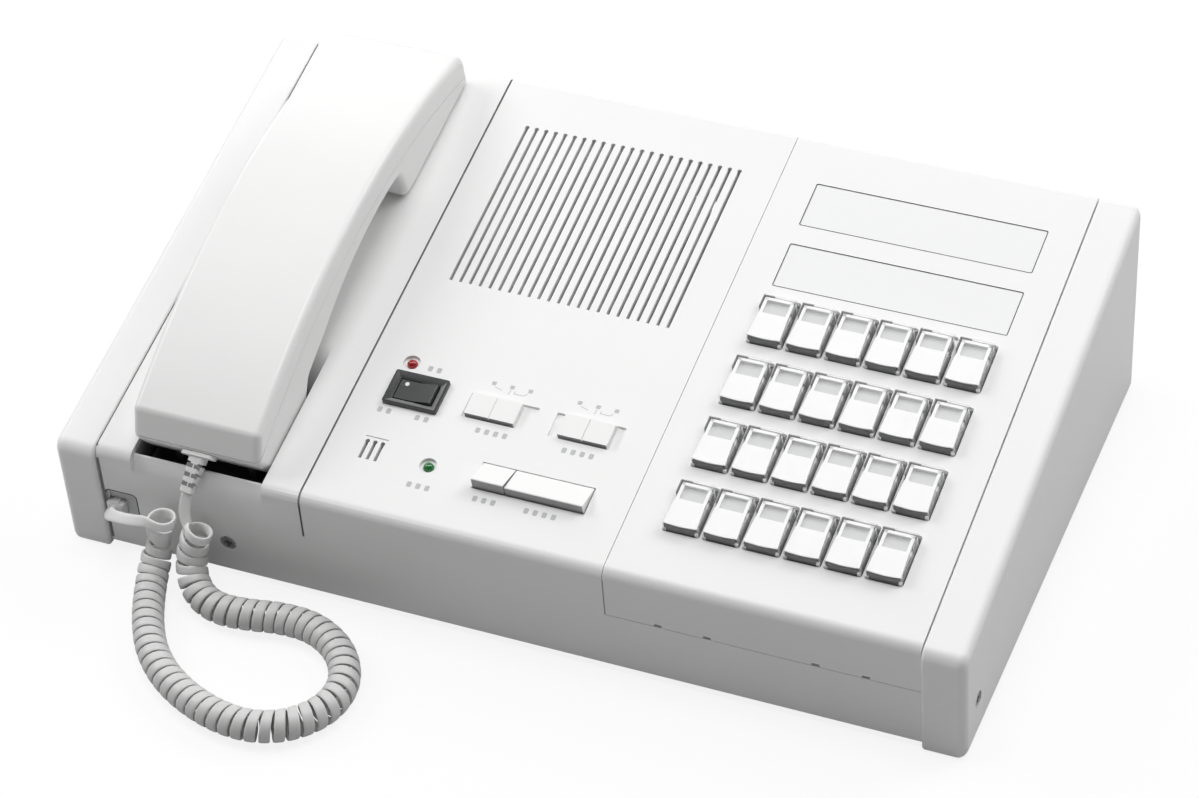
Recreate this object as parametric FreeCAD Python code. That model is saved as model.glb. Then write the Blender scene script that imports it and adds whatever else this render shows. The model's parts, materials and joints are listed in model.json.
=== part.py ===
import FreeCAD, Part

import math
import os
from FreeCAD import Placement, Rotation, Vector

# A desk intercom master station: a wedge-shaped console between two end cheeks, with a handset in a
# cradle on the left, a loudspeaker and its controls in the middle and 24 call keys on the right.
# Millimetres. X runs along the front, Y from front to back, Z up. While a piece is modelled, y = 0 is
# the front wall and z = 0 the table. Pieces on the sloping deck are modelled in the deck's own frame:
# x across, s up the slope from the front edge, n out of the deck. The written model stands with the
# middle of its cheeks over the origin.

# ---------------------------------------------------------------- case
bay_width = 93.85           # handset bay, from the left cheek to the cradle seam
panel_width = 134.2         # loudspeaker and controls, from seam to seam
keypad_width = 133.85       # keypad, from its seam to the right cheek
cheek_width = 18.9
cheek_proud = 2.0           # the cheeks stand forward of the front wall
cheek_lift = 0.8            # underside of the cheeks above the table
front_height = 56.2         # deck plane above the table, at the front wall
deck_angle = 10.2           # slope of the deck, degrees
rear_lean = 5.0             # the rear wall leans in by this much towards its foot
base_lift = 3.3             # underside of the case above the table
case_wall = 2.6             # moulded wall of the housing and the cheeks
front_edge_radius = 5.0     # deck to front wall
rear_edge_radius = 2.0      # deck to rear wall
seam_gap = 0.3              # joint line between two mouldings
fit_gap = 0.2               # clearance of a seated piece
cheek_edge_radius = 4.0     # soft outer edge of a cheek
cheek_inner_radius = 1.5    # soft edge along the case
cheek_front_radius = 6.0
cheek_rear_radius = 2.5
cheek_foot_radius = 1.2
cheek_rib = 1.6
base_thickness = 2.5
base_slot_count = 9
base_slot_length = 42.0
base_slot_width = 3.0
base_slot_pitch = 8.0
foot_radius = 6.0
foot_sink = 1.2             # depth of the foot's socket in the cheek
foot_front = 49.0           # front pair of feet, from the front wall
foot_rear_inset = 24.2      # rear pair, from the foot of the rear wall
boss_radius = 4.0
boss_hole_radius = 1.5
boss_front = 15.0           # front row of case screws, from the front wall
boss_rear_inset = 13.2      # rear row, from the foot of the rear wall
boss_side_inset = 9.0       # outer bosses, from the case's ends
boss_seam_inset = 7.5       # inner bosses, from the seams of the deck
screw_shank = 1.4
screw_head_radius = 2.9
screw_head_height = 2.0
screw_length = 11.0
cross_width = 0.9           # cross recess of every screw
cable_port_width = 18.0     # line cable outlet, at the foot of the rear wall
cable_port_height = 9.0
cable_port_inset = 61.0     # its middle, from the right end of the case
rear_vent_count = 7
rear_vent_pitch = 9.0
rear_vent_width = 3.0
rear_vent_height = 20.0
rear_vent_z = 52.0

# ---------------------------------------------------------------- seams of the deck
groove_width = 0.9
groove_depth = 0.7
groove_end_z = 34.0         # where the cradle seam fades out on the front wall

# ---------------------------------------------------------------- keypad cover, keys and label windows
cover_wall = 2.4
cover_front_end = 32.0      # the cover wraps over the front edge down to this height
cover_rear_drop = 12.0      # and over the rear edge by this much
cover_border = 13.5         # housing frame under the cover, front and rear
pry_notch_spread = (23.0, 44.0)  # notches each side of the keypad's middle
pry_notch_width = 3.4
pry_notch_height = 1.3
key_columns = 6
key_rows = 4
key_pitch_x = 17.15
key_pitch_s = 33.1
key_first_s = 38.6          # middle of the front row
key_width = 15.4
key_length = 25.0
key_height = 4.4            # above the deck
key_stop_gap = 0.3          # foot flange to the cover's underside
key_clearance = 0.35
key_corner = 1.2
key_cap_wall = 0.9
key_cap_top = 0.8
key_label_share = 0.62      # share of the length under the name label, from the front
key_lamp_sink = 1.0         # the lamp window lies this far below the key's top
key_flange = 0.9            # foot flange that stops the key under the cover
key_flange_height = 1.0
key_travel = 2.2
key_stem_radius = 1.6
key_switch_size = 6.0
key_switch_height = 3.6
key_board_depth = 14.0      # top of the key board below the deck
board_thickness = 1.6
lamp_width = 5.0
lamp_length = 2.6
lamp_gap = 0.4              # lamp to the foot of a pressed key
window_shift = 1.0          # right of the keypad's middle
window_front_gap = 6.5      # rear row of keys to the front window
window_pitch = 34.2
window_rear_border = 24.5   # rear window to the rear edge of the deck
window_width = 102.4
window_length = 23.4
window_corner = 0.8
window_sheet = 0.9
card_thickness = 0.4
window_sink = 0.15          # the clear sheet lies this far below the deck
window_frame_gap = 0.2

# ---------------------------------------------------------------- loudspeaker
grille_shift = -0.4         # from the middle of the panel
grille_count = 23
grille_pitch = 4.5
grille_slot_width = 1.4
grille_dot_radius = 1.0     # round end of each slot
grille_length = 88.8
grille_rear_border = 26.3   # grille to the rear edge of the deck
speaker_radius = 45.0
speaker_rim = 3.0
speaker_depth = 22.0
speaker_magnet_radius = 22.0
speaker_magnet_height = 12.0
speaker_cone_radius = 40.0
speaker_cone_throat = 13.0
speaker_frame_wall = 1.4

# ---------------------------------------------------------------- controls of the middle panel
rocker_inset = 26.9         # its middle, from the cradle seam
rocker_s = 63.4
rocker_width = 24.4
rocker_length = 17.2
rocker_flange = 1.8
rocker_border = 2.0
rocker_body_depth = 13.0
rocker_gap = 0.5
rocker_tilt = 6.0           # half the angle between the two positions
rocker_pivot_depth = 1.6    # pivot line below the deck
rocker_rise = 2.7           # middle of the paddle above its pivot line
rocker_pin_radius = 1.0
rocker_pin_length = 3.0
pin_gap = 0.05              # running clearance of a pin
led_radius = 2.25
led_well_radius = 3.7
led_well_depth = 1.6
red_led_inset = 18.6        # from the cradle seam
red_led_s = 78.0
green_led_inset = 46.1
green_led_s = 30.0
led_length = 8.0
led_collar = 0.5
mic_inset = 20.1            # from the cradle seam
mic_pitch = 3.45
mic_slots = 3
mic_s_front = 26.0
mic_s_rear = 35.0
mic_bar_s = 37.4
mic_bar_width = 10.3
mic_bar_length = 0.6
mic_radius = 4.8
mic_length = 6.5
slide_shift = (-2.3, 36.2)  # middles of the two recesses, from the middle of the panel
slide_s = 63.7
slide_recess_width = 30.6
slide_recess_length = 12.6
slide_recess_depth = 1.2
slide_knob_width = 22.2
slide_knob_length = 11.2
slide_knob_height = 1.9
slide_travel = 3.0          # from the middle position to either end
slide_rest = (-3.0, 0.0)    # shown position of each knob
slide_groove = 0.6
slide_stem_width = 6.0
slide_stem_length = 3.0
slide_body_width = 27.0
slide_body_length = 9.0
slide_body_height = 7.0
push_shift = 1.0            # left end of the push keys, from the middle of the panel
push_widths = (14.4, 34.4)
push_s_front = 24.8
push_s_rear = 37.5
push_rise = (5.8, 4.8)      # front edges above the deck
push_split = 0.5
push_gap = 0.5
push_skirt = 5.0
push_pin_radius = 1.2
push_pin_depth = 4.1        # hinge line below the deck
push_pin_inset = 2.0        # hinge line, from the keys' rear edge
push_stem_inset = 5.0       # stems, from the keys' front edge
push_stem_radius = 1.8
push_stem_gap = 1.4         # stem to its switch
push_switch_size = 6.0
push_switch_height = 4.0
main_board_depth = 15.5     # top of the board below the deck
main_board_inset = (5.1, 13.1)  # its ends, from the two seams
main_board_s = (14.0, 92.0)
board_post_edge = 4.0       # posts, from the board's edges
post_radius = 2.6
post_room = 1.3             # around the cover's posts

# ---------------------------------------------------------------- cradle and hook
pocket_clearance = 0.8      # each side of the handset
pocket_lip_height = 54.0    # front wall of the pocket above the table
pocket_lip_depth = 5.4      # its inner face
pocket_lip_foot = 47.0      # from here up its outer face leans back
pocket_lip_set = 4.0
pocket_rear = 76.5          # rear rim, up the slope
pocket_floor = 18.0         # below the deck
pocket_rest_x = 17.0        # two rests under the mouth end, each side of its middle
pocket_rest_width = 3.0
pocket_rest_s = (15.0, 47.0)
pocket_ramp_s = 58.0
pocket_wall = 2.2
ear_recess_radius = 24.0
ear_recess_depth = 3.2
hook_inset = 7.5            # from the front face of the ear block
hook_radius = 3.0
hook_length = 20.0
hook_clearance = 0.3
hook_switch_width = 14.0
hook_switch_length = 12.0

# ---------------------------------------------------------------- handset
handset_margin = 17.3       # pocket to the cradle seam
handset_width = 58.8
handset_front = 5.6         # foremost point, up the slope
handset_length = 225.9
handset_crown = 38.0        # highest point above the deck
handset_front_top = 20.0    # top at the mouth end
handset_rear_top = 17.5     # top at the ear end
handset_seat = 0.3          # running gap between the handset and the deck
handset_mouth_depth = 9.0   # the mouth end reaches this far below the deck
handset_grip = 18.4         # underside of the grip above the deck
handset_neck_s = 76.0       # where the grip's underside turns down to the mouth end
handset_neck = 9.6
handset_knee_s = 56.5       # and where it drops into the pocket
handset_knee = 4.5
handset_knee_slope = 9.5
handset_ear_length = 72.5   # ear block, front to rear
handset_nose = 7.4          # foremost line of the mouth end above the deck
handset_chin = 7.5          # the chin slopes back by this much
handset_seam_front = 8.0
handset_seam_crown = 27.5
handset_seam_rear = 4.6
handset_wall = 2.5
handset_edge_radius = 3.2
ear_inset = 35.5            # middle of the earpiece, from the rear end
ear_ring_radius = 21.5
ear_ring_height = 2.2
ear_hole_radius = 1.5
ear_hole_circle = 8.0
ear_hole_count = 6
capsule_radius = 17.0
capsule_height = 7.0
mouth_s = 31.0
mouth_capsule_radius = 13.0
mouth_capsule_height = 7.0
mouth_capsule_lift = 1.5    # over the lowest point of the sloping floor
mouth_hole_radius = 1.2
mouth_hole_pitch = 5.0

# ---------------------------------------------------------------- front wall fittings
front_screw_inset = 37.0    # from the cradle seam
front_screw_z = 18.6
front_screw_length = 6.0
front_recess_radius = 3.8
front_recess_depth = 2.3
cheek_screw_y = 13.6
cheek_screw_z = 20.7
cheek_recess_radius = 3.8
cheek_screw_length = 22.0
cheek_recess_depth = 2.3
jack_inset = 8.4            # its middle, from the end of the case
jack_z = 24.8
jack_width = 14.4
jack_height = 16.8
jack_depth = 11.6
jack_corner = 2.0
jack_sink = 0.8
socket_shift = -2.9         # socket from the middle of its insert
socket_drop = 1.0
socket_width = 7.7
socket_height = 8.0
plug_gap = 0.15
plug_depth = 9.0
plug_proud = 1.6            # the plug stands out of the wall by this much
plug_tab_height = 1.4
plug_tab_width = 3.2

# ---------------------------------------------------------------- cord
lead_width = 4.8            # the flat cord's width
coil_diameter = 14.0
relief_start = Vector(-134.0, 6.5, 61.9)
relief_end = Vector(-136.0, -5.2, 49.3)
relief_root = (8.4, 5.4)    # width and thickness at the handset
relief_tip = (6.6, 4.2)
relief_flange = (15.6, 5.6)  # lies on the chin of the handset
relief_flange_drop = 3.3    # its middle, from the foremost line down the chin
relief_flange_thickness = 1.6
relief_slots = 3
relief_slot_width = 1.3
relief_slab = 20.0          # reach of the cuts, wider than the relief
# Free run from the plug to the first turn, the curled run, and the free run up to the strain relief.
base_lead_points = (
    Vector(-175.5, -1.6, 24.0), Vector(-175.2, -7.6, 23.6), Vector(-167.0, -13.4, 25.4),
    Vector(-157.0, -15.6, 31.0), Vector(-148.0, -15.6, 35.0),
)
coil_points = (
    Vector(-147.8, -9.4, 38.5), Vector(-149.6, -9.4, 27.0), Vector(-151.4, -12.4, 16.0),
    Vector(-150.8, -21.0, 8.9), Vector(-147.2, -31.6, 7.2), Vector(-141.6, -43.6, 7.1),
    Vector(-133.4, -56.4, 7.1), Vector(-121.8, -67.6, 7.1), Vector(-107.6, -75.8, 7.1),
    Vector(-91.0, -81.4, 7.1), Vector(-74.0, -82.2, 7.1), Vector(-59.4, -75.6, 7.1),
    Vector(-49.6, -62.6, 7.1), Vector(-49.0, -46.8, 7.1), Vector(-58.0, -32.4, 7.1),
    Vector(-73.0, -23.6, 7.1), Vector(-89.0, -22.6, 7.1), Vector(-104.0, -25.6, 7.1),
    Vector(-117.0, -26.6, 7.2), Vector(-127.6, -22.6, 7.8), Vector(-134.4, -15.6, 11.9),
    Vector(-135.4, -10.6, 20.6), Vector(-132.6, -9.4, 29.6), Vector(-129.2, -9.4, 38.2),
)
handset_lead_points = (
    Vector(-135.2, -10.6, 33.6), Vector(-136.8, -9.4, 38.2), Vector(-137.0, -7.8, 43.6),
    Vector(-136.1, -5.8, 48.6),
)

# ---------------------------------------------------------------- worked out from the above
slope = math.radians(deck_angle)
inner_half = (bay_width + panel_width + keypad_width) / 2
overall_width = 2 * (inner_half + cheek_width) + seam_gap
cradle_seam_x = -inner_half + bay_width
keypad_seam_x = cradle_seam_x + panel_width
panel_middle = cradle_seam_x + panel_width / 2
keypad_middle = keypad_seam_x + keypad_width / 2
deck_frame = Placement(Vector(0, 0, front_height), Rotation(Vector(1, 0, 0), deck_angle))
key_rear_s = key_first_s + key_pitch_s * (key_rows - 1) + key_length / 2
window_s_front = key_rear_s + window_front_gap + window_length / 2
window_s = (window_s_front + window_pitch, window_s_front)
deck_length = window_s[0] + window_length / 2 + window_rear_border
rear_bottom = deck_length * math.cos(slope) - rear_lean
foot_rear = rear_bottom - foot_rear_inset
boss_rear = rear_bottom - boss_rear_inset
cover_sunk = cover_wall + fit_gap
key_skirt = cover_wall + key_stop_gap
key_first_x = keypad_middle - key_pitch_x * (key_columns - 1) / 2
window_x = keypad_middle + window_shift
grille_x = panel_middle + grille_shift
grille_s_rear = deck_length - grille_rear_border
grille_s_front = grille_s_rear - grille_length
rocker_x = cradle_seam_x + rocker_inset
red_led_x = cradle_seam_x + red_led_inset
green_led_x = cradle_seam_x + green_led_inset
mic_x = cradle_seam_x + mic_inset
slide_x = [panel_middle + shift_x for shift_x in slide_shift]
push_left = panel_middle + push_shift
push_edges = (push_left, push_left + push_widths[0], push_left + sum(push_widths))
push_pin_s = push_s_rear - push_pin_inset
push_stem_s = push_s_front + push_stem_inset
main_board_x = (cradle_seam_x + main_board_inset[0], keypad_seam_x - main_board_inset[1])
pocket_right = cradle_seam_x - handset_margin
handset_x = pocket_right - pocket_clearance - handset_width / 2
pocket_left = handset_x - handset_width / 2 - pocket_clearance
handset_rear = handset_front + handset_length
handset_ear_front = handset_rear - handset_ear_length
ear_s = handset_rear - ear_inset
hook_s = handset_ear_front + hook_inset
front_screw_x = cradle_seam_x - front_screw_inset
jack_x = -inner_half + jack_inset
socket_x = jack_x + socket_shift
socket_z = jack_z - socket_drop
cable_port_x = inner_half - cable_port_inset
far = 2 * overall_width


# ================================================================ small tools
def deck_yz(s, n):
    """Case coordinates (y, z) of the point s up the slope and n above the deck."""
    y = s * math.cos(slope) - n * math.sin(slope)
    z = front_height + s * math.sin(slope) + n * math.cos(slope)
    return y, z


def on_deck(shape):
    """Carry a shape from the deck's frame (x, s, n) into the case's frame."""
    shape.Placement = deck_frame.multiply(shape.Placement)
    return shape


def outline(corners, place):
    """Closed wire through corners (a, b, radius), each radius a tangent arc."""
    points = [Vector(a, b, 0) for a, b, _ in corners]
    count = len(points)
    turns = []
    for i, (_, _, radius) in enumerate(corners):
        here = points[i]
        back = (points[i - 1] - here).normalize()
        ahead = (points[(i + 1) % count] - here).normalize()
        half = back.getAngle(ahead) / 2
        reach = radius / math.tan(half)
        middle = (back + ahead).normalize() * (radius / math.sin(half) - radius)
        turns.append((here + back * reach, here + middle, here + ahead * reach))
    edges = []
    for i, (start, middle, end) in enumerate(turns):
        if corners[i][2] > 0:
            edges.append(Part.Arc(place(start), place(middle), place(end)).toShape())
        next_start = turns[(i + 1) % count][0]
        if (next_start - end).Length > 1e-6:
            edges.append(Part.LineSegment(place(end), place(next_start)).toShape())
    return Part.Wire(edges)


def inset(corners, walls):
    """The clockwise outline with the edge after corner i moved in by walls[i]."""
    lines = []
    count = len(corners)
    for i in range(count):
        start = Vector(corners[i][0], corners[i][1], 0)
        end = Vector(corners[(i + 1) % count][0], corners[(i + 1) % count][1], 0)
        along = (end - start).normalize()
        lines.append((start + Vector(along.y, -along.x, 0) * walls[i], along))
    moved = []
    for i in range(count):
        first, first_way = lines[i - 1]
        second, second_way = lines[i]
        cross = first_way.x * second_way.y - first_way.y * second_way.x
        gap = second - first
        point = first + first_way * ((gap.x * second_way.y - gap.y * second_way.x) / cross)
        radius = max(corners[i][2] - max(walls[i - 1], walls[i]), 0)
        moved.append((point.x, point.y, radius))
    return moved


def prism(corners, x_low, x_high):
    """Extrude a side outline, given in (y, z), along X."""
    wire = outline(corners, lambda p: Vector(x_low, p.x, p.y))
    return Part.Face(wire).extrude(Vector(x_high - x_low, 0, 0))


def rectangle(x, s, width, length, radius=0.0):
    """Corners of a rounded rectangle about its middle."""
    return [
        (x - width / 2, s - length / 2, radius),
        (x + width / 2, s - length / 2, radius),
        (x + width / 2, s + length / 2, radius),
        (x - width / 2, s + length / 2, radius),
    ]


def pad(x, s, width, length, n_low, n_high, radius=0.0):
    """Block on the deck, from n_low to n_high, with rounded upright edges."""
    wire = outline(rectangle(x, s, width, length, radius), lambda p: Vector(p.x, p.y, n_low))
    return on_deck(Part.Face(wire).extrude(Vector(0, 0, n_high - n_low)))


def peg(x, s, radius, n_low, n_high):
    """Round peg standing square to the deck."""
    return on_deck(Part.makeCylinder(radius, n_high - n_low, Vector(x, s, n_low)))


def block(x_low, x_high, y_low, y_high, z_low, z_high):
    """Upright box in the case's frame."""
    return Part.makeBox(x_high - x_low, y_high - y_low, z_high - z_low, Vector(x_low, y_low, z_low))


def nearest_edge(solid, point):
    """The edge of the solid that passes closest to the point."""
    spot = Part.Vertex(point)
    return min(solid.Edges, key=lambda edge: edge.distToShape(spot)[0])


def screw(head_radius, head_height, shank_radius, length):
    """Pan-head screw along +Z from its head, with a cross recess in the head at z = 0."""
    head = Part.makeCylinder(head_radius, head_height)
    head = head.makeFillet(head_height * 0.4, [nearest_edge(head, Vector(0, head_radius, 0))])
    shank = Part.makeCylinder(shank_radius, length, Vector(0, 0, head_height))
    bar = Part.makeBox(head_radius * 1.3, cross_width, head_height * 0.5,
                       Vector(-head_radius * 0.65, -cross_width / 2, 0))
    crossbar = bar.copy()
    crossbar.rotate(Vector(0, 0, 0), Vector(0, 0, 1), 90)
    return head.fuse(shank).cut([bar, crossbar])


def aimed(shape, place, way):
    """Turn a shape from +Z to the given way and move its origin to place."""
    shape.Placement = Placement(place, Rotation(Vector(0, 0, 1), way))
    return shape


# ================================================================ case
def case_corners(front, base, radii):
    """Side outline of the case, clockwise from the front foot."""
    rear_y, rear_z = deck_yz(deck_length, 0)
    front_z = front_height + front * math.tan(slope)
    return [
        (front, base, radii[0]),
        (front, front_z, radii[1]),
        (rear_y, rear_z, radii[2]),
        (rear_bottom, base, radii[3]),
    ]


case_outline = case_corners(0, base_lift, (0, front_edge_radius, rear_edge_radius, 0))


def skin(x_low, x_high, depth, front_end, rear_end, swell):
    """The outer skin of the case, depth thick, over the deck and a little way down both ends."""
    outer = prism(inset(case_outline, [-swell] * 4), x_low, x_high)
    inner = prism(inset(case_outline, [depth, depth, depth, -far]), x_low - 1, x_high + 1)
    middle = rear_bottom / 2
    below_front = block(x_low - 1, x_high + 1, -far, middle, -far, front_end)
    below_rear = block(x_low - 1, x_high + 1, rear_bottom - 3 * rear_lean, far, -far, rear_end)
    return outer.cut(inner).cut([below_front, below_rear])


def rear_end_height():
    return deck_yz(deck_length, 0)[1] - cover_rear_drop


def pocket_space(grow):
    """Free space of the mouthpiece pocket; grow gives the tub around it."""
    lip = pocket_lip_height - grow
    inner_face = pocket_lip_depth - grow
    ramp_top = deck_yz(pocket_rear + grow, 0)
    above = deck_yz(pocket_rear + grow, 30)
    ramp_foot = deck_yz(pocket_ramp_s + grow, -pocket_floor * 0.45 - grow)
    floor_rear = deck_yz(pocket_ramp_s - 6 + grow, -pocket_floor - grow)
    floor_front_z = deck_yz(pocket_lip_depth, -pocket_floor)[1] - grow
    corners = [
        (inner_face, floor_front_z, 3.0),
        (inner_face, lip, 0.8),
        (-8.0, lip, 0),
        (-8.0, above[1], 0),
        (above[0], above[1], 0),
        (ramp_top[0], ramp_top[1], 0),
        (ramp_foot[0], ramp_foot[1], 5.0),
        (floor_rear[0], floor_rear[1], 3.0),
    ]
    return prism(corners, pocket_left - grow, pocket_right + grow)


def pocket_rests():
    """Two low walls on the pocket's floor that carry the mouth end."""
    length = pocket_rest_s[1] - pocket_rest_s[0]
    top = -handset_mouth_depth - handset_seat
    return [
        pad(handset_x + side * pocket_rest_x, sum(pocket_rest_s) / 2, pocket_rest_width, length,
            -pocket_floor - pocket_wall / 2, top)
        for side in (-1, 1)
    ]


def lip_slope():
    """Material shaved off the front wall ahead of the pocket, so that its top leans back."""
    lean = pocket_lip_set / (pocket_lip_height - pocket_lip_foot)
    top = pocket_lip_height + pocket_lip_set
    corners = [
        (0, pocket_lip_foot, 0),
        (-1.0, pocket_lip_foot, 0),
        (-1.0, top, 0),
        (lean * (top - pocket_lip_foot), top, 0),
    ]
    return prism(corners, pocket_left, pocket_right)


def slots_up_slope(xs, s_front, s_rear, width, dot_radius, depth):
    """Slots along the slope, each with a round dot at its rear end."""
    cutters = []
    for x in xs:
        cutters.append(pad(x, (s_front + s_rear) / 2, width, s_rear - s_front, -depth, 1))
        cutters.append(peg(x, s_rear, dot_radius, -depth, 1))
    return cutters


def grille_xs():
    first = grille_x - grille_pitch * (grille_count - 1) / 2
    return [first + grille_pitch * i for i in range(grille_count)]


def mic_xs():
    return [mic_x + mic_pitch * (i - (mic_slots - 1) / 2) for i in range(mic_slots)]


def boss_places():
    """Screw bosses of the base, as (x, y)."""
    right = inner_half - boss_side_inset
    middle = keypad_seam_x - boss_seam_inset
    front = (cradle_seam_x - boss_seam_inset, middle, right)
    rear = (-right, middle, right)
    return [(x, boss_front) for x in front] + [(x, boss_rear) for x in rear]


def board_post_places():
    """Posts that carry the main board, as (x, s)."""
    xs = (main_board_x[0] + board_post_edge, main_board_x[1] - board_post_edge)
    ss = (main_board_s[0] + board_post_edge, main_board_s[1] - board_post_edge)
    return [(x, s) for x in xs for s in ss]


def build_housing():
    """One moulding: deck, front, rear and end walls, cradle pocket, bosses and posts."""
    body = prism(case_outline, -inner_half, inner_half)
    rear_end = rear_end_height() - seam_gap
    front_end = cover_front_end - seam_gap
    body = body.cut(skin(keypad_seam_x - seam_gap / 2, inner_half + 1, cover_sunk, front_end, rear_end, 1.0))
    walls = [case_wall] * 3 + [-far]
    sunk_walls = [cover_sunk + case_wall] * 3 + [-far]
    left_room = prism(inset(case_outline, walls), -inner_half + case_wall, keypad_seam_x - case_wall)
    right_low = keypad_seam_x - case_wall - 1
    right_room = prism(inset(case_outline, sunk_walls), right_low, inner_half - case_wall)
    full_room = prism(inset(case_outline, walls), right_low, inner_half - case_wall)
    middle = rear_bottom / 2
    below_cover = [
        block(right_low, inner_half, -1, middle, -far, front_end - case_wall),
        block(right_low, inner_half, middle, far, -far, rear_end - case_wall),
    ]
    room = left_room.fuse([right_room] + [full_room.common(part) for part in below_cover])
    solid_parts = [pocket_space(pocket_wall)]
    solid_parts.append(
        block(pocket_left - pocket_wall, pocket_right + pocket_wall, case_wall / 2, pocket_lip_depth,
              pocket_lip_foot - 2 * pocket_wall, pocket_lip_height)
    )
    ear_floor = -ear_recess_depth - pocket_wall
    solid_parts.append(peg(handset_x, ear_s, ear_recess_radius + pocket_wall, ear_floor, 0))
    room = room.cut(solid_parts)
    body = body.cut(room)
    columns = []
    for x, y in boss_places():
        columns.append(
            Part.makeCylinder(boss_radius, far, Vector(x, y, base_lift + base_thickness + fit_gap))
        )
    under_deck = prism(inset(case_outline, [1.0] * 4), -inner_half + 1, keypad_seam_x)
    under_cover = prism(inset(case_outline, [1.0, cover_sunk + 1.0, 1.0, 1.0]), keypad_seam_x, inner_half - 1)
    columns = [column.common(under_deck.fuse(under_cover)) for column in columns]
    posts = [peg(x, s, post_radius, -main_board_depth, -1.0) for x, s in board_post_places()]
    screw_wall = block(
        front_screw_x - front_recess_radius - 2, front_screw_x + front_recess_radius + 2,
        1.0, front_recess_depth + case_wall, front_screw_z - front_recess_radius - 2,
        front_screw_z + front_recess_radius + 2,
    )
    body = body.fuse(columns + posts + [screw_wall])
    cutters = [pocket_space(0).cut(pocket_rests()), lip_slope()]
    cutters.append(peg(handset_x, ear_s, ear_recess_radius, -ear_recess_depth, 1))
    cutters.append(peg(handset_x, hook_s, hook_radius + hook_clearance, ear_floor - 1, 1))
    cutters += slots_up_slope(
        grille_xs(), grille_s_front, grille_s_rear, grille_slot_width, grille_dot_radius, case_wall + 1
    )
    cutters += slots_up_slope(
        mic_xs(), mic_s_front, mic_s_rear, grille_slot_width, grille_dot_radius, case_wall + 1
    )
    cutters.append(pad(mic_x, mic_bar_s, mic_bar_width, mic_bar_length, -groove_depth, 1))
    cutters.append(
        pad(rocker_x, rocker_s, rocker_width - 2 * rocker_border, rocker_length - 2 * rocker_border,
            -case_wall - 1, 1)
    )
    for x, s in ((red_led_x, red_led_s), (green_led_x, green_led_s)):
        cutters.append(peg(x, s, led_well_radius, -led_well_depth, 1))
        cutters.append(peg(x, s, led_radius + fit_gap / 2, -case_wall - 1, 1))
    for x in slide_x:
        cutters.append(
            pad(x, slide_s, slide_recess_width, slide_recess_length, -slide_recess_depth, 1, 0.6)
        )
        cutters.append(
            pad(x, slide_s, slide_stem_width + 2 * slide_travel + 1, slide_stem_length + 1,
                -case_wall - 1, 1)
        )
    push_middle = (push_edges[0] + push_edges[-1]) / 2
    push_span = push_edges[-1] - push_edges[0] + 2 * push_gap
    push_length = push_s_rear - push_s_front + 2 * push_gap
    cutters.append(
        pad(push_middle, (push_s_front + push_s_rear) / 2, push_span, push_length, -case_wall - 1, 1)
    )
    cutters.append(pad(cradle_seam_x, deck_length / 2, groove_width, 2 * deck_length, -groove_depth, 1))
    cutters.append(
        block(cradle_seam_x - groove_width / 2, cradle_seam_x + groove_width / 2,
              -1, groove_depth, groove_end_z, front_height + 5)
    )
    cutters.append(cover_window())
    cutters.append(
        aimed(Part.makeCylinder(front_recess_radius, front_recess_depth + 1),
              Vector(front_screw_x, -1, front_screw_z), Vector(0, 1, 0))
    )
    cutters.append(
        aimed(Part.makeCylinder(screw_shank + fit_gap / 2, 20),
              Vector(front_screw_x, -1, front_screw_z), Vector(0, 1, 0))
    )
    cutters.append(
        front_opening(jack_x, jack_z, jack_width + 2 * plug_gap, jack_height + 2 * plug_gap,
                      -1, case_wall + 1, jack_corner)
    )
    cutters.append(
        block(-inner_half - 1, jack_x, case_wall, jack_depth + fit_gap, jack_z - jack_height / 2 - plug_gap,
              jack_z + jack_height / 2 + plug_gap)
    )
    for side in (-1, 1):
        cutters.append(
            aimed(Part.makeCylinder(screw_shank + fit_gap / 2, 12),
                  Vector(side * (inner_half - 8), cheek_screw_y, cheek_screw_z), Vector(side, 0, 0))
        )
    for x, y in boss_places():
        cutters.append(Part.makeCylinder(boss_hole_radius, 2 * screw_length, Vector(x, y, 0)))
    cutters.append(
        block(cable_port_x - cable_port_width / 2, cable_port_x + cable_port_width / 2,
              rear_bottom - 12, rear_bottom + 12, 0, base_lift + cable_port_height)
    )
    first_vent = panel_middle - rear_vent_pitch * (rear_vent_count - 1) / 2
    for i in range(rear_vent_count):
        x = first_vent + rear_vent_pitch * i
        cutters.append(
            block(x - rear_vent_width / 2, x + rear_vent_width / 2, rear_bottom - 12, rear_bottom + 12,
                  rear_vent_z - rear_vent_height / 2, rear_vent_z + rear_vent_height / 2)
        )
    return body.cut(cutters)


def front_opening(x, z, width, height, y_low, y_high, radius):
    """Rounded rectangular prism along Y, for openings and inserts of the front wall."""
    wire = outline(rectangle(x, z, width, height, radius), lambda p: Vector(p.x, y_low, p.y))
    return Part.Face(wire).extrude(Vector(0, y_high - y_low, 0))


def cover_window():
    """Opening of the housing frame under the keypad cover, clear of the cover's posts."""
    post_xs = [x for x, _ in key_post_places()]
    x_low = min(post_xs) - post_radius - post_room
    x_high = max(post_xs) + post_radius + post_room
    s_low = cover_border
    s_high = deck_length - cover_border
    return pad((x_low + x_high) / 2, (s_low + s_high) / 2, x_high - x_low, s_high - s_low,
               -cover_sunk - case_wall - 1, 1, 3.0)


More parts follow.
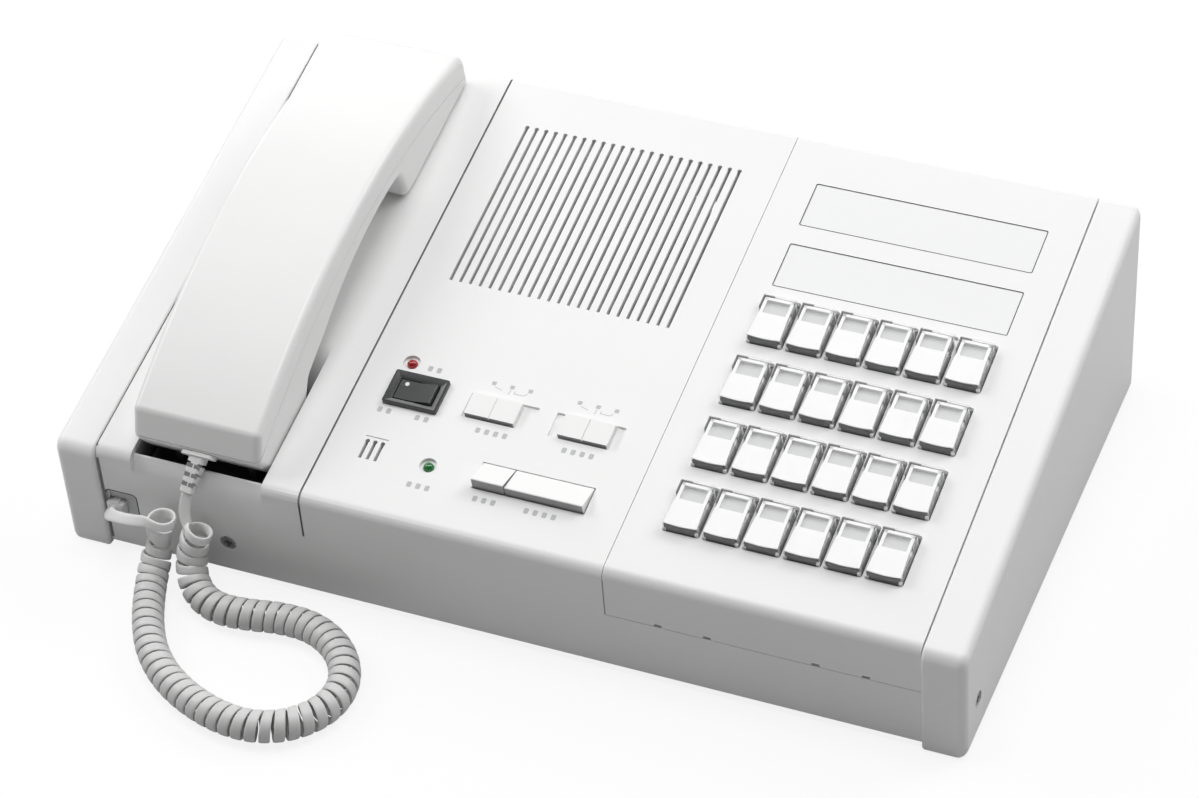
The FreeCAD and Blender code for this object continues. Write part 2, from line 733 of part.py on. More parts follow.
def build_base():
    """Flat bottom cover inside the housing's walls, with vents and sunk screw heads."""
    inner = inset(case_outline, [case_wall + fit_gap] * 3 + [0])
    x_edge = inner_half - case_wall - fit_gap
    y_low = inner[0][0]
    y_high = rear_bottom - case_wall - fit_gap
    base = block(-x_edge, x_edge, y_low, y_high, base_lift, base_lift + base_thickness)
    cutters = []
    for x, y in boss_places():
        cutters.append(Part.makeCylinder(screw_shank + fit_gap / 2, 20, Vector(x, y, 0)))
        cutters.append(
            Part.makeCylinder(screw_head_radius + fit_gap, screw_head_height * 0.75, Vector(x, y, base_lift))
        )
    first = grille_x - base_slot_pitch * (base_slot_count - 1) / 2
    for i in range(base_slot_count):
        x = first + base_slot_pitch * i
        cutters.append(
            block(x - base_slot_width / 2, x + base_slot_width / 2, rear_bottom * 0.6,
                  rear_bottom * 0.6 + base_slot_length, 0, 20)
        )
    cutters.append(
        block(cable_port_x - cable_port_width / 2, cable_port_x + cable_port_width / 2,
              y_high - 10, y_high + 10, 0, 20)
    )
    return base.cut(cutters)


def base_screws():
    """Six identical screws from below, heads sunk in the base."""
    screws = []
    for x, y in boss_places():
        piece = screw(screw_head_radius, screw_head_height * 0.75 - fit_gap / 2, screw_shank, screw_length)
        piece.translate(Vector(x, y, base_lift))
        screws.append(piece)
    return screws


def build_cheek(side):
    """End cheek: hollow moulding, open towards the case, soft-edged on the outside."""
    radii = (cheek_foot_radius, cheek_front_radius, cheek_rear_radius, cheek_foot_radius)
    corners = case_corners(-cheek_proud, cheek_lift, radii)
    inner_x = overall_width / 2 - cheek_width + seam_gap / 2
    outer_x = overall_width / 2
    solid = prism(corners, inner_x, outer_x)
    for rim_x, radius in ((outer_x, cheek_edge_radius), (inner_x, cheek_inner_radius)):
        rim = [
            edge for edge in solid.Edges
            if abs(edge.BoundBox.XMin - rim_x) < 1e-4 and abs(edge.BoundBox.XMax - rim_x) < 1e-4
        ]
        solid = solid.makeFillet(radius, rim)
    hollow = prism(inset(corners, [case_wall] * 4), inner_x - 1, outer_x - case_wall)
    rib_y = [foot_front + (foot_rear - foot_front) * share for share in (0.2, 0.5, 0.8)]
    ribs = [
        block(inner_x + 3, outer_x - 1, y - cheek_rib / 2, y + cheek_rib / 2, -far, far) for y in rib_y
    ]
    boss = aimed(
        Part.makeCylinder(cheek_recess_radius + 2, cheek_width - seam_gap / 2 - fit_gap - 1),
        Vector(inner_x + fit_gap, cheek_screw_y, cheek_screw_z), Vector(1, 0, 0),
    )
    middle_x = (inner_x + outer_x) / 2
    pads = [
        Part.makeCylinder(foot_radius + 1.6, case_wall + foot_sink, Vector(middle_x, y, cheek_lift + 1))
        for y in (foot_front, foot_rear)
    ]
    hollow = hollow.cut(ribs + [boss] + pads)
    cutters = [hollow]
    cutters.append(
        aimed(Part.makeCylinder(cheek_recess_radius, cheek_recess_depth + 1),
              Vector(outer_x + 1, cheek_screw_y, cheek_screw_z), Vector(-1, 0, 0))
    )
    cutters.append(
        aimed(Part.makeCylinder(screw_shank + fit_gap / 2, cheek_width + 2),
              Vector(outer_x + 1, cheek_screw_y, cheek_screw_z), Vector(-1, 0, 0))
    )
    for y in (foot_front, foot_rear):
        cutters.append(
            Part.makeCylinder(foot_radius + fit_gap / 2, foot_sink, Vector(middle_x, y, cheek_lift))
        )
    solid = solid.cut(cutters)
    if side < 0:
        solid = solid.mirror(Vector(0, 0, 0), Vector(1, 0, 0))
    return solid


def cheek_screws():
    """One screw through the outer face of each cheek into the housing's end wall."""
    screws = []
    for side in (-1, 1):
        piece = screw(screw_head_radius, screw_head_height, screw_shank, cheek_screw_length)
        place = Vector(
            side * (overall_width / 2 - cheek_recess_depth + screw_head_height), cheek_screw_y, cheek_screw_z
        )
        screws.append(aimed(piece, place, Vector(-side, 0, 0)))
    return screws


def front_screw():
    """Screw in the round recess of the front wall."""
    piece = screw(screw_head_radius, screw_head_height, screw_shank, front_screw_length)
    place = Vector(front_screw_x, front_recess_depth - screw_head_height, front_screw_z)
    return aimed(piece, place, Vector(0, 1, 0))


def rubber_feet():
    """Four round feet pressed into the undersides of the cheeks."""
    feet = []
    for x in (-1, 1):
        for y in (foot_front, foot_rear):
            centre = Vector(x * (overall_width - cheek_width) / 2, y, 0)
            foot = Part.makeCylinder(foot_radius, cheek_lift + foot_sink, centre)
            lower = nearest_edge(foot, centre + Vector(0, foot_radius, 0))
            feet.append(foot.makeChamfer(0.5, [lower]))
    return feet


# ================================================================ keypad
def key_places():
    """Middles of the keys, as (row, column, x, s), rows from the rear."""
    return [
        (row + 1, column + 1, key_first_x + key_pitch_x * column,
         key_first_s + key_pitch_s * (key_rows - 1 - row))
        for row in range(key_rows) for column in range(key_columns)
    ]


def build_cover():
    """Cover of the keypad: wraps over both edges, pierced by the keys and sunk for the labels."""
    cover = skin(keypad_seam_x + seam_gap / 2, inner_half, cover_wall, cover_front_end, rear_end_height(), 0)
    posts = [
        peg(x, s, post_radius, -key_board_depth, -cover_wall / 2)
        for x, s in key_post_places()
    ]
    card_floor = -window_sheet - card_thickness - window_sink
    ledges = [
        pad(window_x, s, window_width + 4, window_length + 4, card_floor - 1.4, -cover_wall / 2, 1.0)
        for s in window_s
    ]
    cover = cover.fuse(posts + ledges)
    cutters = []
    for _, _, x, s in key_places():
        cutters.append(
            pad(x, s, key_width + 2 * key_clearance, key_length + 2 * key_clearance,
                -cover_wall - 1, 1, key_corner)
        )
    for s in window_s:
        depth = window_sheet + card_thickness + window_sink
        cutters.append(
            pad(window_x, s, window_width + 2 * window_frame_gap, window_length + 2 * window_frame_gap,
                -depth, 1, window_corner)
        )
    for x in [keypad_middle + side * spread for side in (-1, 1) for spread in pry_notch_spread]:
        cutters.append(
            block(x - pry_notch_width / 2, x + pry_notch_width / 2, -1, cover_wall + 1,
                  cover_front_end - 1, cover_front_end + pry_notch_height)
        )
    return cover.cut(cutters)


def key_post_places():
    """Posts that carry the key board, left and right of the key block."""
    reach = (key_columns - 1) * key_pitch_x / 2 + key_width / 2 + key_clearance + post_radius + 0.6
    middle = key_first_x + (key_columns - 1) * key_pitch_x / 2
    rows = [key_first_s + key_pitch_s * (i + 0.5) for i in range(key_rows - 1)]
    return [(middle + side * reach, s) for side in (-1, 1) for s in rows]


def build_key(x, s):
    """A clear cap over a name label and a lamp window, on a white plunger with a foot flange."""
    top = key_height
    cap = pad(x, s, key_width, key_length, -key_skirt, top, key_corner)
    label_length = key_length * key_label_share
    label_s = s - key_length / 2 + label_length / 2
    lamp_length = key_length - label_length
    lamp_s = s + key_length / 2 - lamp_length / 2
    inner_width = key_width - 2 * key_cap_wall
    inner_length = key_length - 2 * key_cap_wall
    roof = top - key_cap_top
    cap = cap.cut(pad(x, s, inner_width, inner_length, -key_skirt - 1, roof - key_lamp_sink, 0.4))
    label_room = pad(x, label_s + key_cap_wall / 2, inner_width, label_length - key_cap_wall,
                     -key_skirt - 1, roof)
    lamp_dish = pad(x, lamp_s - key_cap_wall / 2, inner_width - 0.8, lamp_length - key_cap_wall - 0.8,
                    top - key_lamp_sink, top + 1)
    cap = cap.cut([label_room, lamp_dish])
    front = nearest_edge(cap, on_deck_point(x, s - key_length / 2, top))
    cap = cap.makeFillet(key_cap_top * 0.7, [front])
    floor = top - key_cap_top - key_lamp_sink
    label = pad(x, label_s + key_cap_wall / 2, inner_width - 0.2, label_length - key_cap_wall - 0.2,
                floor, top - key_cap_top)
    body_low = -key_skirt
    body = pad(x, s, inner_width - 0.2, inner_length - 0.2, body_low + 1, floor, 0.3)
    flange = pad(x, s, key_width, key_length + 2 * (key_clearance + key_flange), body_low - key_flange_height,
                 body_low)
    body = body.fuse([
        pad(x, s, inner_width - 2, inner_length - 2, body_low, body_low + 1),
        flange,
        peg(x, s, key_stem_radius, -key_board_depth + key_switch_height + key_travel + 0.2, body_low),
    ])
    return [cap, label, body]


def on_deck_point(x, s, n):
    y, z = deck_yz(s, n)
    return Vector(x, y, z)


def key_board():
    """Circuit board under the keys, screwed to the cover's posts."""
    xs = [x for x, _ in key_post_places()]
    margin = post_radius + 0.8
    s_low = key_first_s - key_length / 2
    s_high = key_first_s + key_pitch_s * (key_rows - 1) + key_length / 2
    return pad((min(xs) + max(xs)) / 2, (s_low + s_high) / 2, max(xs) - min(xs) + 2 * margin, s_high - s_low,
               -key_board_depth - board_thickness, -key_board_depth, 2.0)


def key_switches():
    """One tactile switch under each key's stem."""
    return [
        pad(x, s, key_switch_size, key_switch_size, -key_board_depth, -key_board_depth + key_switch_height)
        for _, _, x, s in key_places()
    ]


def key_lamps():
    """One lamp under the rear window of each key, on the board."""
    back = key_length / 2 - lamp_length - key_cap_wall - 1.0
    return [
        pad(x, s + back, lamp_width, lamp_length, -key_board_depth,
            -key_skirt - key_flange_height - key_travel - lamp_gap)
        for _, _, x, s in key_places()
    ]


def label_windows():
    """Clear sheets over the two name cards."""
    low = -window_sink - window_sheet
    return [
        pad(window_x, s, window_width, window_length, low, -window_sink, window_corner)
        for s in window_s
    ]


def label_cards():
    """Blank paper cards under the clear sheets."""
    top = -window_sink - window_sheet
    return [
        pad(window_x, s, window_width - 1.0, window_length - 1.0, top - card_thickness, top)
        for s in window_s
    ]


# ================================================================ loudspeaker and controls
def build_speaker():
    """Basket, cone and magnet of the loudspeaker, its rim seated under the deck."""
    middle_s = (grille_s_front + grille_s_rear) / 2
    rim_top = -case_wall
    basket_low = rim_top - speaker_depth
    profile = [
        Vector(speaker_radius, 0, rim_top),
        Vector(speaker_radius, 0, rim_top - speaker_rim),
        Vector(speaker_magnet_radius + 3, 0, basket_low),
        Vector(0, 0, basket_low),
        Vector(0, 0, basket_low + speaker_frame_wall),
        Vector(speaker_magnet_radius + 2, 0, basket_low + speaker_frame_wall),
        Vector(speaker_cone_radius + 1, 0, rim_top - speaker_rim * 0.6),
        Vector(speaker_cone_radius + 1, 0, rim_top),
    ]
    centre = Vector(grille_x, middle_s, 0)
    basket = turned(profile, centre)
    magnet = peg(grille_x, middle_s, speaker_magnet_radius, basket_low - speaker_magnet_height, basket_low)
    cone_low = basket_low + speaker_frame_wall
    cone = turned([
        Vector(speaker_cone_radius, 0, rim_top - 1.0),
        Vector(speaker_cone_throat, 0, cone_low + 2),
        Vector(0, 0, cone_low + 4),
        Vector(0, 0, cone_low),
        Vector(speaker_cone_throat, 0, cone_low),
        Vector(speaker_cone_radius, 0, rim_top - 2.0),
    ], centre)
    return basket, magnet, cone


def turned(profile, centre):
    """Revolve a closed half section about the upright through centre, in the deck's frame."""
    points = [point + centre for point in profile]
    face = Part.Face(Part.makePolygon(points + [points[0]]))
    return on_deck(face.revolve(centre, Vector(0, 0, 1), 360))


def build_rocker_frame():
    """Bezel and switch body of the mains rocker."""
    flange = pad(rocker_x, rocker_s, rocker_width, rocker_length, 0, rocker_flange, 0.8)
    neck_width = rocker_width - 2 * rocker_border - 2 * fit_gap
    neck_length = rocker_length - 2 * rocker_border - 2 * fit_gap
    neck = pad(rocker_x, rocker_s, neck_width, neck_length, -rocker_body_depth, 0)
    paddle_room = pad(rocker_x, rocker_s, neck_width - 2.0, neck_length - 2.0, -rocker_body_depth + 2, 3)
    pins = [
        on_deck(Part.makeCylinder(
            rocker_pin_radius, rocker_pin_length,
            Vector(rocker_x, rocker_s + side * (neck_length / 2), -rocker_pivot_depth), Vector(0, -side, 0)
        ))
        for side in (-1, 1)
    ]
    return flange.fuse(neck).cut(paddle_room).fuse(pins)


def build_rocker():
    """Rocker paddle with two sloping faces, tipped to its shown side."""
    width = rocker_width - 2 * rocker_border - 2 * fit_gap - 2.0 - 2 * rocker_gap
    length = rocker_length - 2 * rocker_border - 2 * fit_gap - 2.0 - 2 * rocker_gap
    half = width / 2
    pivot_n = -rocker_pivot_depth
    drop = half * math.tan(math.radians(rocker_tilt))
    top = pivot_n + rocker_rise
    corners = [
        (rocker_x - half, pivot_n + 1.0, 0),
        (rocker_x - half, top + drop * 0.55, 0.6),
        (rocker_x, top - drop * 0.45, 0),
        (rocker_x + half, top + drop * 0.55, 0.6),
        (rocker_x + half, pivot_n + 1.0, 0),
        (rocker_x + 3.0, pivot_n - 3.4, 1.0),
        (rocker_x - 3.0, pivot_n - 3.4, 1.0),
    ]
    low_s = rocker_s - length / 2
    wire = outline(corners, lambda p: Vector(p.x, low_s, p.y))
    paddle = Part.Face(wire).extrude(Vector(0, length, 0))
    bore = Part.makeCylinder(
        rocker_pin_radius + pin_gap, length + 2, Vector(rocker_x, low_s - 1, pivot_n), Vector(0, 1, 0)
    )
    paddle = paddle.cut(bore)
    paddle.rotate(Vector(rocker_x, rocker_s, pivot_n), Vector(0, 1, 0), -rocker_tilt)
    return on_deck(paddle)


def build_led(x, s):
    """Round indicator: its dome starts at the well's floor, its collar sits under the deck."""
    low = -led_well_depth - led_length + led_radius
    stem = Part.makeCylinder(led_radius, -led_well_depth - low, Vector(x, s, low))
    dome = Part.makeSphere(led_radius, Vector(x, s, -led_well_depth), Vector(0, 0, 1), 0, 90, 360)
    collar = Part.makeCylinder(led_radius + led_collar, -case_wall - low, Vector(x, s, low))
    return on_deck(stem.fuse([dome, collar]).removeSplitter())


def build_mic():
    """Electret capsule behind the three short slots."""
    middle = (mic_s_front + mic_s_rear) / 2
    return peg(mic_x, middle, mic_radius, -case_wall - mic_length, -case_wall)


def slide_knob(index):
    """Slide knob in its shown position: two halves parted by a groove, on a flat stem."""
    x = slide_x[index] + slide_rest[index]
    low = -slide_recess_depth + fit_gap
    knob = pad(x, slide_s, slide_knob_width, slide_knob_length, low, slide_knob_height, 0.5)
    groove_floor = slide_knob_height - slide_groove
    groove = pad(x, slide_s, slide_groove, slide_knob_length + 2, groove_floor, slide_knob_height + 1)
    stem = pad(x, slide_s, slide_stem_width, slide_stem_length, -case_wall - 2.2, low)
    return knob.cut(groove).fuse(stem)


def slide_switches():
    """Bodies of the two slide switches under the deck, slotted for the stems."""
    bodies = []
    for x in slide_x:
        low = -case_wall - slide_body_height
        body = pad(x, slide_s, slide_body_width, slide_body_length, low, -case_wall)
        slot = pad(x, slide_s, slide_stem_width + 2 * slide_travel + 1, slide_stem_length + 1,
                   -case_wall - 3, 0)
        bodies.append(body.cut(slot))
    return bodies


def push_key(index):
    """Wedge-shaped push key: flush at the rear, raised at the front, on a rear hinge pin."""
    x_low = push_edges[index] + (push_split / 2 if index else 0)
    x_high = push_edges[index + 1] - (0 if index else push_split / 2)
    corners = [
        (push_s_front, -push_skirt, 0),
        (push_s_front, push_rise[index], 0.5),
        (push_s_rear, 0.15, 0.3),
        (push_s_rear, -push_pin_depth - 2.0, 1.0),
        (push_s_rear - 4.0, -push_pin_depth - 2.0, 1.0),
        (push_s_rear - 5.0, -2.0, 1.0),
        (push_s_front + 2.4, -1.0, 1.0),
        (push_s_front + 2.0, -push_skirt, 0),
    ]
    body = prism(corners, x_low, x_high)
    bore = Part.makeCylinder(
        push_pin_radius + pin_gap, far, Vector(-far / 2, push_pin_s, -push_pin_depth), Vector(1, 0, 0)
    )
    stem_low = -main_board_depth + push_switch_height + push_stem_gap
    stem = Part.makeCylinder(
        push_stem_radius, 0.6 - stem_low, Vector((x_low + x_high) / 2, push_stem_s, stem_low)
    )
    return on_deck(body.fuse(stem).cut(bore))


def push_pin():
    """Steel pin that both push keys turn on, held by two ears under the deck."""
    low = push_edges[0] - 3.0
    high = push_edges[-1] + 3.0
    start = Vector(low, push_pin_s, -push_pin_depth)
    return on_deck(Part.makeCylinder(push_pin_radius, high - low, start, Vector(1, 0, 0)))


def push_ears():
    """Ears of the push-key pin, screwed under the deck."""
    ears = []
    for x in (push_edges[0] - 2.2, push_edges[-1] + 2.2):
        ear = pad(x, push_pin_s, 2.0, 7.0, -push_pin_depth - 3.0, -case_wall)
        bore = on_deck(Part.makeCylinder(
            push_pin_radius + pin_gap, 20, Vector(x - 10, push_pin_s, -push_pin_depth), Vector(1, 0, 0)
        ))
        ears.append(ear.cut(bore))
    return ears


def push_switches():
    """Tactile switches under the stems of the push keys."""
    switches = []
    for index in (0, 1):
        x = (push_edges[index] + push_edges[index + 1]) / 2
        switches.append(
            pad(x, push_stem_s, push_switch_size, push_switch_size, -main_board_depth,
                -main_board_depth + push_switch_height)
        )
    return switches


def main_board():
    """Circuit board on four posts under the middle panel."""
    x_low, x_high = main_board_x
    s_low, s_high = main_board_s
    return pad((x_low + x_high) / 2, (s_low + s_high) / 2, x_high - x_low, s_high - s_low,
               -main_board_depth - board_thickness, -main_board_depth, 2.0)


# ================================================================ hook
def hook_plunger():
    """Round plunger that the ear block holds down."""
    body = Part.makeCylinder(hook_radius, hook_length, Vector(handset_x, hook_s, -hook_length))
    top = nearest_edge(body, Vector(handset_x, hook_s + hook_radius, 0))
    return on_deck(body.makeFillet(1.0, [top]))


def hook_switch():
    """Switch block under the deck that the plunger runs in."""
    low = -hook_length - fit_gap - 1.0
    body = pad(handset_x, hook_s, hook_switch_width, hook_switch_length, low, -case_wall)
    keep_off = peg(handset_x, ear_s, ear_recess_radius + pocket_wall + fit_gap, low - 1, 0)
    bore = peg(handset_x, hook_s, hook_radius + hook_clearance, low + 1, 1)
    return body.cut([bore, keep_off])


# ================================================================ handset
def handset_block(depth):
    """Handset as one block, in the deck's frame, its skin moved in by depth."""
    half = handset_width / 2 - depth
    x_low = handset_x - half
    front = handset_front + depth

    def at(s, n):
        return Vector(x_low, s, n)

    crown_s = (handset_front + handset_rear) / 2
    front_top = at(front + 5.9, handset_front_top - depth)
    rear_top = at(handset_rear - depth, handset_rear_top - depth)
    rear_low = at(handset_rear - depth, handset_seat + depth)
    ear_low = at(handset_ear_front + depth + 1.5, handset_seat + depth)
    ear_top = at(handset_ear_front + depth, handset_grip + depth - 1.6)
    grip_middle = at(crown_s - 3, handset_grip + depth)
    mouth_top = at(handset_neck_s - 0.3 * depth, handset_neck + depth)
    mouth_knee = at(handset_knee_s - 0.6 * depth, handset_knee + 0.8 * depth)
    mouth_low = at(handset_knee_s - handset_knee_slope - 0.8 * depth, -handset_mouth_depth + depth)
    chin = at(front + handset_chin + 0.3 * depth, -handset_mouth_depth + 1 + depth)
    nose = at(front, handset_nose)
    edges = [
        Part.Arc(front_top, at(crown_s, handset_crown - depth), rear_top).toShape(),
        Part.makeLine(rear_top, rear_low),
        Part.makeLine(rear_low, ear_low),
        Part.makeLine(ear_low, ear_top),
        Part.Arc(ear_top, grip_middle, mouth_top).toShape(),
        Part.makeLine(mouth_top, mouth_knee),
        Part.makeLine(mouth_knee, mouth_low),
        Part.makeLine(mouth_low, chin),
        Part.makeLine(chin, nose),
        Part.makeLine(nose, front_top),
    ]
    solid = Part.Face(Part.Wire(edges)).extrude(Vector(2 * half, 0, 0))
    if depth:
        return solid
    corners = (
        (front_top, 4.0), (rear_top, 6.0), (rear_low, 4.0), (ear_low, 4.0), (ear_top, 3.0),
        (mouth_knee, 6.0), (mouth_low, 6.0), (chin, 5.0), (nose, 3.0),
    )
    for corner, radius in corners:
        solid = solid.makeFillet(radius, [nearest_edge(solid, corner + Vector(half, 0, 0))])
    rim = [
        edge for edge in solid.Edges
        if edge.BoundBox.XLength < 1e-3
    ]
    return solid.makeFillet(handset_edge_radius, rim)


def above_seam(shift):
    """Everything above the handset's joint line, raised by shift."""
    low_x = handset_x - handset_width
    start = Vector(low_x, handset_front, handset_seam_front + shift)
    crown = Vector(low_x, (handset_front + handset_rear) / 2 - 4, handset_seam_crown + shift)
    end = Vector(low_x, handset_rear, handset_seam_rear + shift)
    arc = Part.Arc(start, crown, end).toShape()
    lead_in = start + Vector(0, -20, -10)
    lead_out = end + Vector(0, 20, -8)
    roof = 2 * handset_crown
    roof_rear = Vector(low_x, lead_out.y, roof)
    roof_front = Vector(low_x, lead_in.y, roof)
    edges = [
        Part.makeLine(lead_in, start), arc, Part.makeLine(end, lead_out),
        Part.makeLine(lead_out, roof_rear), Part.makeLine(roof_rear, roof_front),
        Part.makeLine(roof_front, lead_in),
    ]
    return Part.Face(Part.Wire(edges)).extrude(Vector(2 * handset_width, 0, 0))


def build_handset():
    """Top and bottom shells of the handset, with the ear ring and sound holes."""
    outer = handset_block(0)
    hollow = handset_block(handset_wall)
    top_shell = outer.common(above_seam(seam_gap / 2)).cut(hollow)
    ring = Part.makeCylinder(
        ear_ring_radius, ear_ring_height + 1.0, Vector(handset_x, ear_s, handset_seat - ear_ring_height)
    )
    lower_rim = nearest_edge(ring, Vector(handset_x, ear_s + ear_ring_radius, handset_seat - ear_ring_height))
    ring = ring.makeFillet(1.2, [lower_rim])
    bottom_shell = outer.cut(above_seam(-seam_gap / 2)).fuse(ring).cut(hollow)
    holes = [Part.makeCylinder(ear_hole_radius, 12, Vector(handset_x, ear_s, -6))]
    for i in range(ear_hole_count):
        angle = 2 * math.pi * i / ear_hole_count
        x = handset_x + ear_hole_circle * math.cos(angle)
        s = ear_s + ear_hole_circle * math.sin(angle)
        holes.append(Part.makeCylinder(ear_hole_radius, 12, Vector(x, s, -6)))
    for i in (-1, 0, 1):
        for j in (-1, 0, 1):
            x = handset_x + i * mouth_hole_pitch
            s = mouth_s + j * mouth_hole_pitch
            holes.append(Part.makeCylinder(mouth_hole_radius, 12, Vector(x, s, -handset_mouth_depth - 4)))
    bottom_shell = on_deck(bottom_shell.cut(holes)).cut(relief_passage())
    return on_deck(top_shell).cut(relief_passage()), bottom_shell


def receiver_capsule():
    """Earphone capsule on the floor of the ear block."""
    low = handset_seat + handset_wall
    return peg(handset_x, ear_s, capsule_radius, low, low + capsule_height)


def mouth_capsule():
    """Microphone capsule on the floor of the mouth block."""
    low = -handset_mouth_depth + handset_wall + mouth_capsule_lift
    return peg(handset_x, mouth_s, mouth_capsule_radius, low, low + mouth_capsule_height)


# ================================================================ strain relief, plug and cord
def relief_section(size, centre, way):
    """Oval cross-section square to the way, its width along X."""
    width, thickness = size
    radius = min(width, thickness) * 0.45
    across = Vector(1, 0, 0) - way * way.x
    across.normalize()
    other = way.cross(across)
    corners = rectangle(0, 0, width, thickness, radius)
    return outline(corners, lambda p: centre + across * p.x + other * p.y)


def relief_stretch(first, last, low, high):
    """The relief from low to high along its axis, its section changing from first to last."""
    way = (relief_end - relief_start).normalize()
    ends = ((first, low), (last, high))
    return Part.makeLoft([relief_section(size, relief_start + way * at, way) for size, at in ends], True)


def relief_passage():
    """Hole in the shells that the neck of the strain relief passes."""
    width, thickness = relief_root
    neck_size = (width + 2 * fit_gap, thickness + 2 * fit_gap)
    return relief_stretch(neck_size, neck_size, -9.0, 2.0)


def build_relief_flange():
    """Oval flange of the strain relief, flat on the handset's chin."""
    nose = Vector(relief_start.x, *deck_yz(handset_front, handset_nose))
    chin = Vector(relief_start.x, *deck_yz(handset_front + handset_chin, 1 - handset_mouth_depth))
    down = (chin - nose).normalize()
    way = down.cross(Vector(1, 0, 0))
    centre = nose + down * relief_flange_drop + way * (fit_gap / 2)
    ends = [centre, centre + way * relief_flange_thickness]
    return Part.makeLoft([relief_section(relief_flange, end, way) for end in ends], True)


def build_relief():
    """Tapered, slotted strain relief with its flange against the handset."""
    length = (relief_end - relief_start).Length
    inner = relief_stretch(relief_root, relief_root, -5.0, 1.0)
    taper = relief_stretch(relief_root, relief_tip, 1.0, length)
    body = inner.fuse([taper, build_relief_flange()])
    slots = []
    pitch = (length - 5.0) / relief_slots
    core_size = (relief_tip[0] * 0.5, relief_slab)
    for i in range(relief_slots):
        low = 4.4 + pitch * i
        high = low + relief_slot_width
        slab = relief_stretch((relief_slab, relief_slab), (relief_slab, relief_slab), low, high)
        slots.append(slab.cut(relief_stretch(core_size, core_size, low - 0.1, high + 0.1)))
    return body.cut(slots)


def build_jack():
    """Handset socket: insert of the front wall with a stepped mouth for the plug."""
    body = front_opening(jack_x, jack_z, jack_width, jack_height, jack_sink, jack_depth, jack_corner)
    step = front_opening(
        jack_x, jack_z, jack_width - 2.4, jack_height - 3.0, jack_sink - 1, jack_sink + 1.0, 1.0
    )
    socket = front_opening(
        socket_x, socket_z, socket_width + 2 * plug_gap, socket_height + 2 * plug_gap, jack_sink - 1,
        jack_sink + plug_depth + 0.4, 0
    )
    return body.cut([step, socket])


def build_plug():
    """Modular plug in the socket, with its release tab on top."""
    body_height = socket_height - plug_tab_height
    inner_end = jack_sink + plug_depth
    body = front_opening(socket_x, socket_z, socket_width, body_height, -plug_proud, inner_end, 0)
    tab = block(socket_x - plug_tab_width / 2, socket_x + plug_tab_width / 2, -plug_proud, inner_end * 0.7,
                socket_z + body_height / 2, socket_z + socket_height / 2)
    return body.fuse(tab)


def tube(points, radius):
    """Round tube along straight runs joined by tangent arcs, and the smallest radius of its bends."""
    edges = []
    start = points[0]
    tightest = far
    for i in range(1, len(points) - 1):
        back = points[i - 1] - points[i]
        ahead = points[i + 1] - points[i]
        half_turn = (math.pi - back.getAngle(ahead)) / 2
        shorter = min(back.Length, ahead.Length)
        bend = 0.45 * shorter / math.tan(half_turn)
        reach = bend * math.tan(half_turn)
        tightest = min(tightest, bend)
        back.normalize()
        ahead.normalize()
        enter = points[i] + back * reach
        leave = points[i] + ahead * reach
        middle = points[i] + (back + ahead).normalize() * (bend / math.cos(half_turn) - bend)
        edges.append(Part.LineSegment(start, enter).toShape())
        edges.append(Part.Arc(enter, middle, leave).toShape())
        start = leave
    edges.append(Part.LineSegment(start, points[-1]).toShape())
    path = Part.Wire(edges)
    ring = Part.Wire(Part.Circle(points[0], points[1] - points[0], radius).toShape())
    solid = path.makePipeShell([ring], True, True)
    section_volume = math.pi * radius ** 2 * path.Length
    print("tube: length %.1f, tightest bend %.1f, volume ratio %.4f" % (
        path.Length, tightest, solid.Volume / section_volume))
    return solid


# ================================================================ write the nodes
def origin_shift():
    """From the front wall and table to the middle of the cheeks' footprint."""
    box = build_cheek(1).BoundBox
    return Vector(0, -(box.YMin + box.YMax) / 2, 0)


shift = origin_shift()
written = []


def save(node, pieces):
    """Write one node, made of one solid or a list of separate solids."""
    pieces = pieces if isinstance(pieces, list) else [pieces]
    moved = []
    for piece in pieces:
        for solid in piece.Solids:
            copy = solid.copy()
            copy.translate(shift)
            moved.append(copy)
    shape = moved[0] if len(moved) == 1 else Part.makeCompound(moved)
    shape.exportStep(os.path.join("parts", node + ".step"))
    written.append((node, len(moved), all(solid.isValid() for solid in moved)))


os.makedirs("parts", exist_ok=True)
save("main_housing", build_housing())
save("base_plate", build_base())
save("left_cheek", build_cheek(-1))
save("right_cheek", build_cheek(1))
save("case_screws", base_screws() + cheek_screws() + [front_screw()])
save("rubber_feet", rubber_feet())

save("keypad_cover", build_cover())
save("key_board", [key_board()] + key_switches() + key_lamps())
save("label_windows", label_windows())
save("label_cards", label_cards())
for row, column, x, s in key_places():
    save("key_r%dc%d" % (row, column), build_key(x, s))

speaker_basket, speaker_magnet, speaker_cone = build_speaker()
save("speaker_basket", [speaker_basket, speaker_magnet])
save("speaker_cone", speaker_cone)
save("rocker_frame", build_rocker_frame())
save("rocker_paddle", build_rocker())
save("red_led", build_led(red_led_x, red_led_s))
save("green_led", build_led(green_led_x, green_led_s))
save("call_microphone", build_mic())
save("slide_knob_left", slide_knob(0))
save("slide_knob_right", slide_knob(1))
save("push_key_left", push_key(0))
save("push_key_right", push_key(1))
save("push_key_pin", [push_pin()] + push_ears())
save("panel_switches", slide_switches() + push_switches())
save("main_board", main_board())

